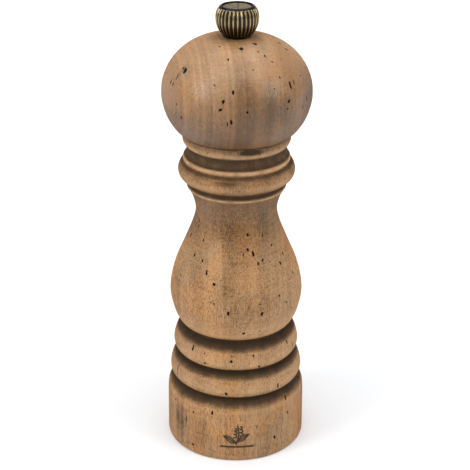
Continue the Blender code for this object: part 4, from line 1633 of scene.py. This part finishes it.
@dataclass
class Studio:
    """Pale floor, soft lights and the camera, in metres."""

    camera_place: tuple[float, float, float] = (-0.0005, -0.4619, 0.2994)
    camera_pitch_deg: float = 24.64
    camera_roll_deg: float = 0.25
    lens_mm: float = 98.5
    sky: float = 0.37
    backdrop: float = 1.2
    floor_half: float = 6.0
    floor_tone: Colour = (0.89, 0.905, 0.925)
    lights: list[StudioLight] = field(
        default_factory=lambda: [
            StudioLight("key_left", (-0.78, -0.44, 0.44), 1.15, 26.0),
            StudioLight("fill_right", (0.80, -0.42, 0.44), 0.85, 26.0),
            StudioLight("top", (0.0, -0.05, 1.0), 2.2, 84.0),
        ]
    )

    def floor(self) -> bpy.types.Object:
        """Lays a wide pale floor under the foot, which lets a view from below through.

        Returns:
            The floor.
        """
        mesh = bpy.data.meshes.new("floor")
        half = self.floor_half
        mesh.from_pydata([(-half, -half, 0), (half, -half, 0), (half, half, 0), (-half, half, 0)], [], [(0, 1, 2, 3)])
        item = bpy.data.objects.new("floor", mesh)
        bpy.context.scene.collection.objects.link(item)
        material, wiring, shader = new_material("pale_floor")
        shader.inputs["Base Color"].default_value = (*self.floor_tone, 1.0)
        shader.inputs["Roughness"].default_value = 0.9
        shader.inputs["Specular IOR Level"].default_value = 0.0
        from_below = wiring.add("NewGeometry").outputs["Backfacing"]
        wiring.feed(shader.inputs["Alpha"], wiring.math("SUBTRACT", 1.0, from_below))
        mesh.materials.append(material)
        return item

    def camera(self) -> bpy.types.Object:
        """Sets up the camera, a little above the mill and looking down at it.

        Returns:
            The camera's object.
        """
        data = bpy.data.cameras.new("camera")
        data.sensor_width = 36.0
        data.lens = self.lens_mm
        data.clip_start = 0.01
        item = bpy.data.objects.new("camera", data)
        item.location = self.camera_place
        pitch = Matrix.Rotation(math.radians(90.0 - self.camera_pitch_deg), 3, "X")
        item.rotation_euler = (pitch @ Matrix.Rotation(math.radians(self.camera_roll_deg), 3, "Z")).to_euler()
        bpy.context.scene.collection.objects.link(item)
        bpy.context.scene.camera = item
        return item

    def build(self) -> None:
        """Sets the stage."""
        scene = bpy.context.scene
        scene.view_settings.view_transform = "Standard"
        world = bpy.data.worlds.new("studio")
        world.use_nodes = True
        wiring = Wiring(world.node_tree)
        seen = wiring.add("LightPath").outputs["Is Camera Ray"]
        strength = wiring.math("MULTIPLY_ADD", seen, self.backdrop - self.sky, self.sky)
        sky = world.node_tree.nodes["Background"]
        wiring.feed(sky.inputs[0], (1.0, 1.0, 1.0))
        wiring.feed(sky.inputs[1], strength)
        scene.world = world
        self.floor()
        self.camera()
        for light in self.lights:
            light.build()


def main() -> None:
    """Builds every part of the mill in order, then the studio."""
    logging.basicConfig(level=logging.INFO, format="%(name)s: %(message)s")
    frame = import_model()

    body = MillBody("turned_body", "body", "base", BeechFinish("beech_body", (0.0, 0.0, 0.0)))
    waxed = BeechFinish(
        "beech_head",
        shift=(31.0, 12.0, 57.0),
        light=(0.47, 0.276, 0.143),
        middle=(0.335, 0.185, 0.087),
        dark=(0.175, 0.095, 0.041),
        layers=0.90,
        grit=0.56,
        gloss=0.50,
        roughening=-0.12,
    )
    head = MillHead("turned_head", "head", "top", waxed, rows=190)
    pieces = [body.build(), head.build(), *FlutedKnob().build(), *Works().build(frame["nodes"])]
    for piece in pieces:
        LOG.info("%s: %d faces", piece.name, len(piece.data.polygons))
    Studio().build()


if __name__ == "__main__":
    main()
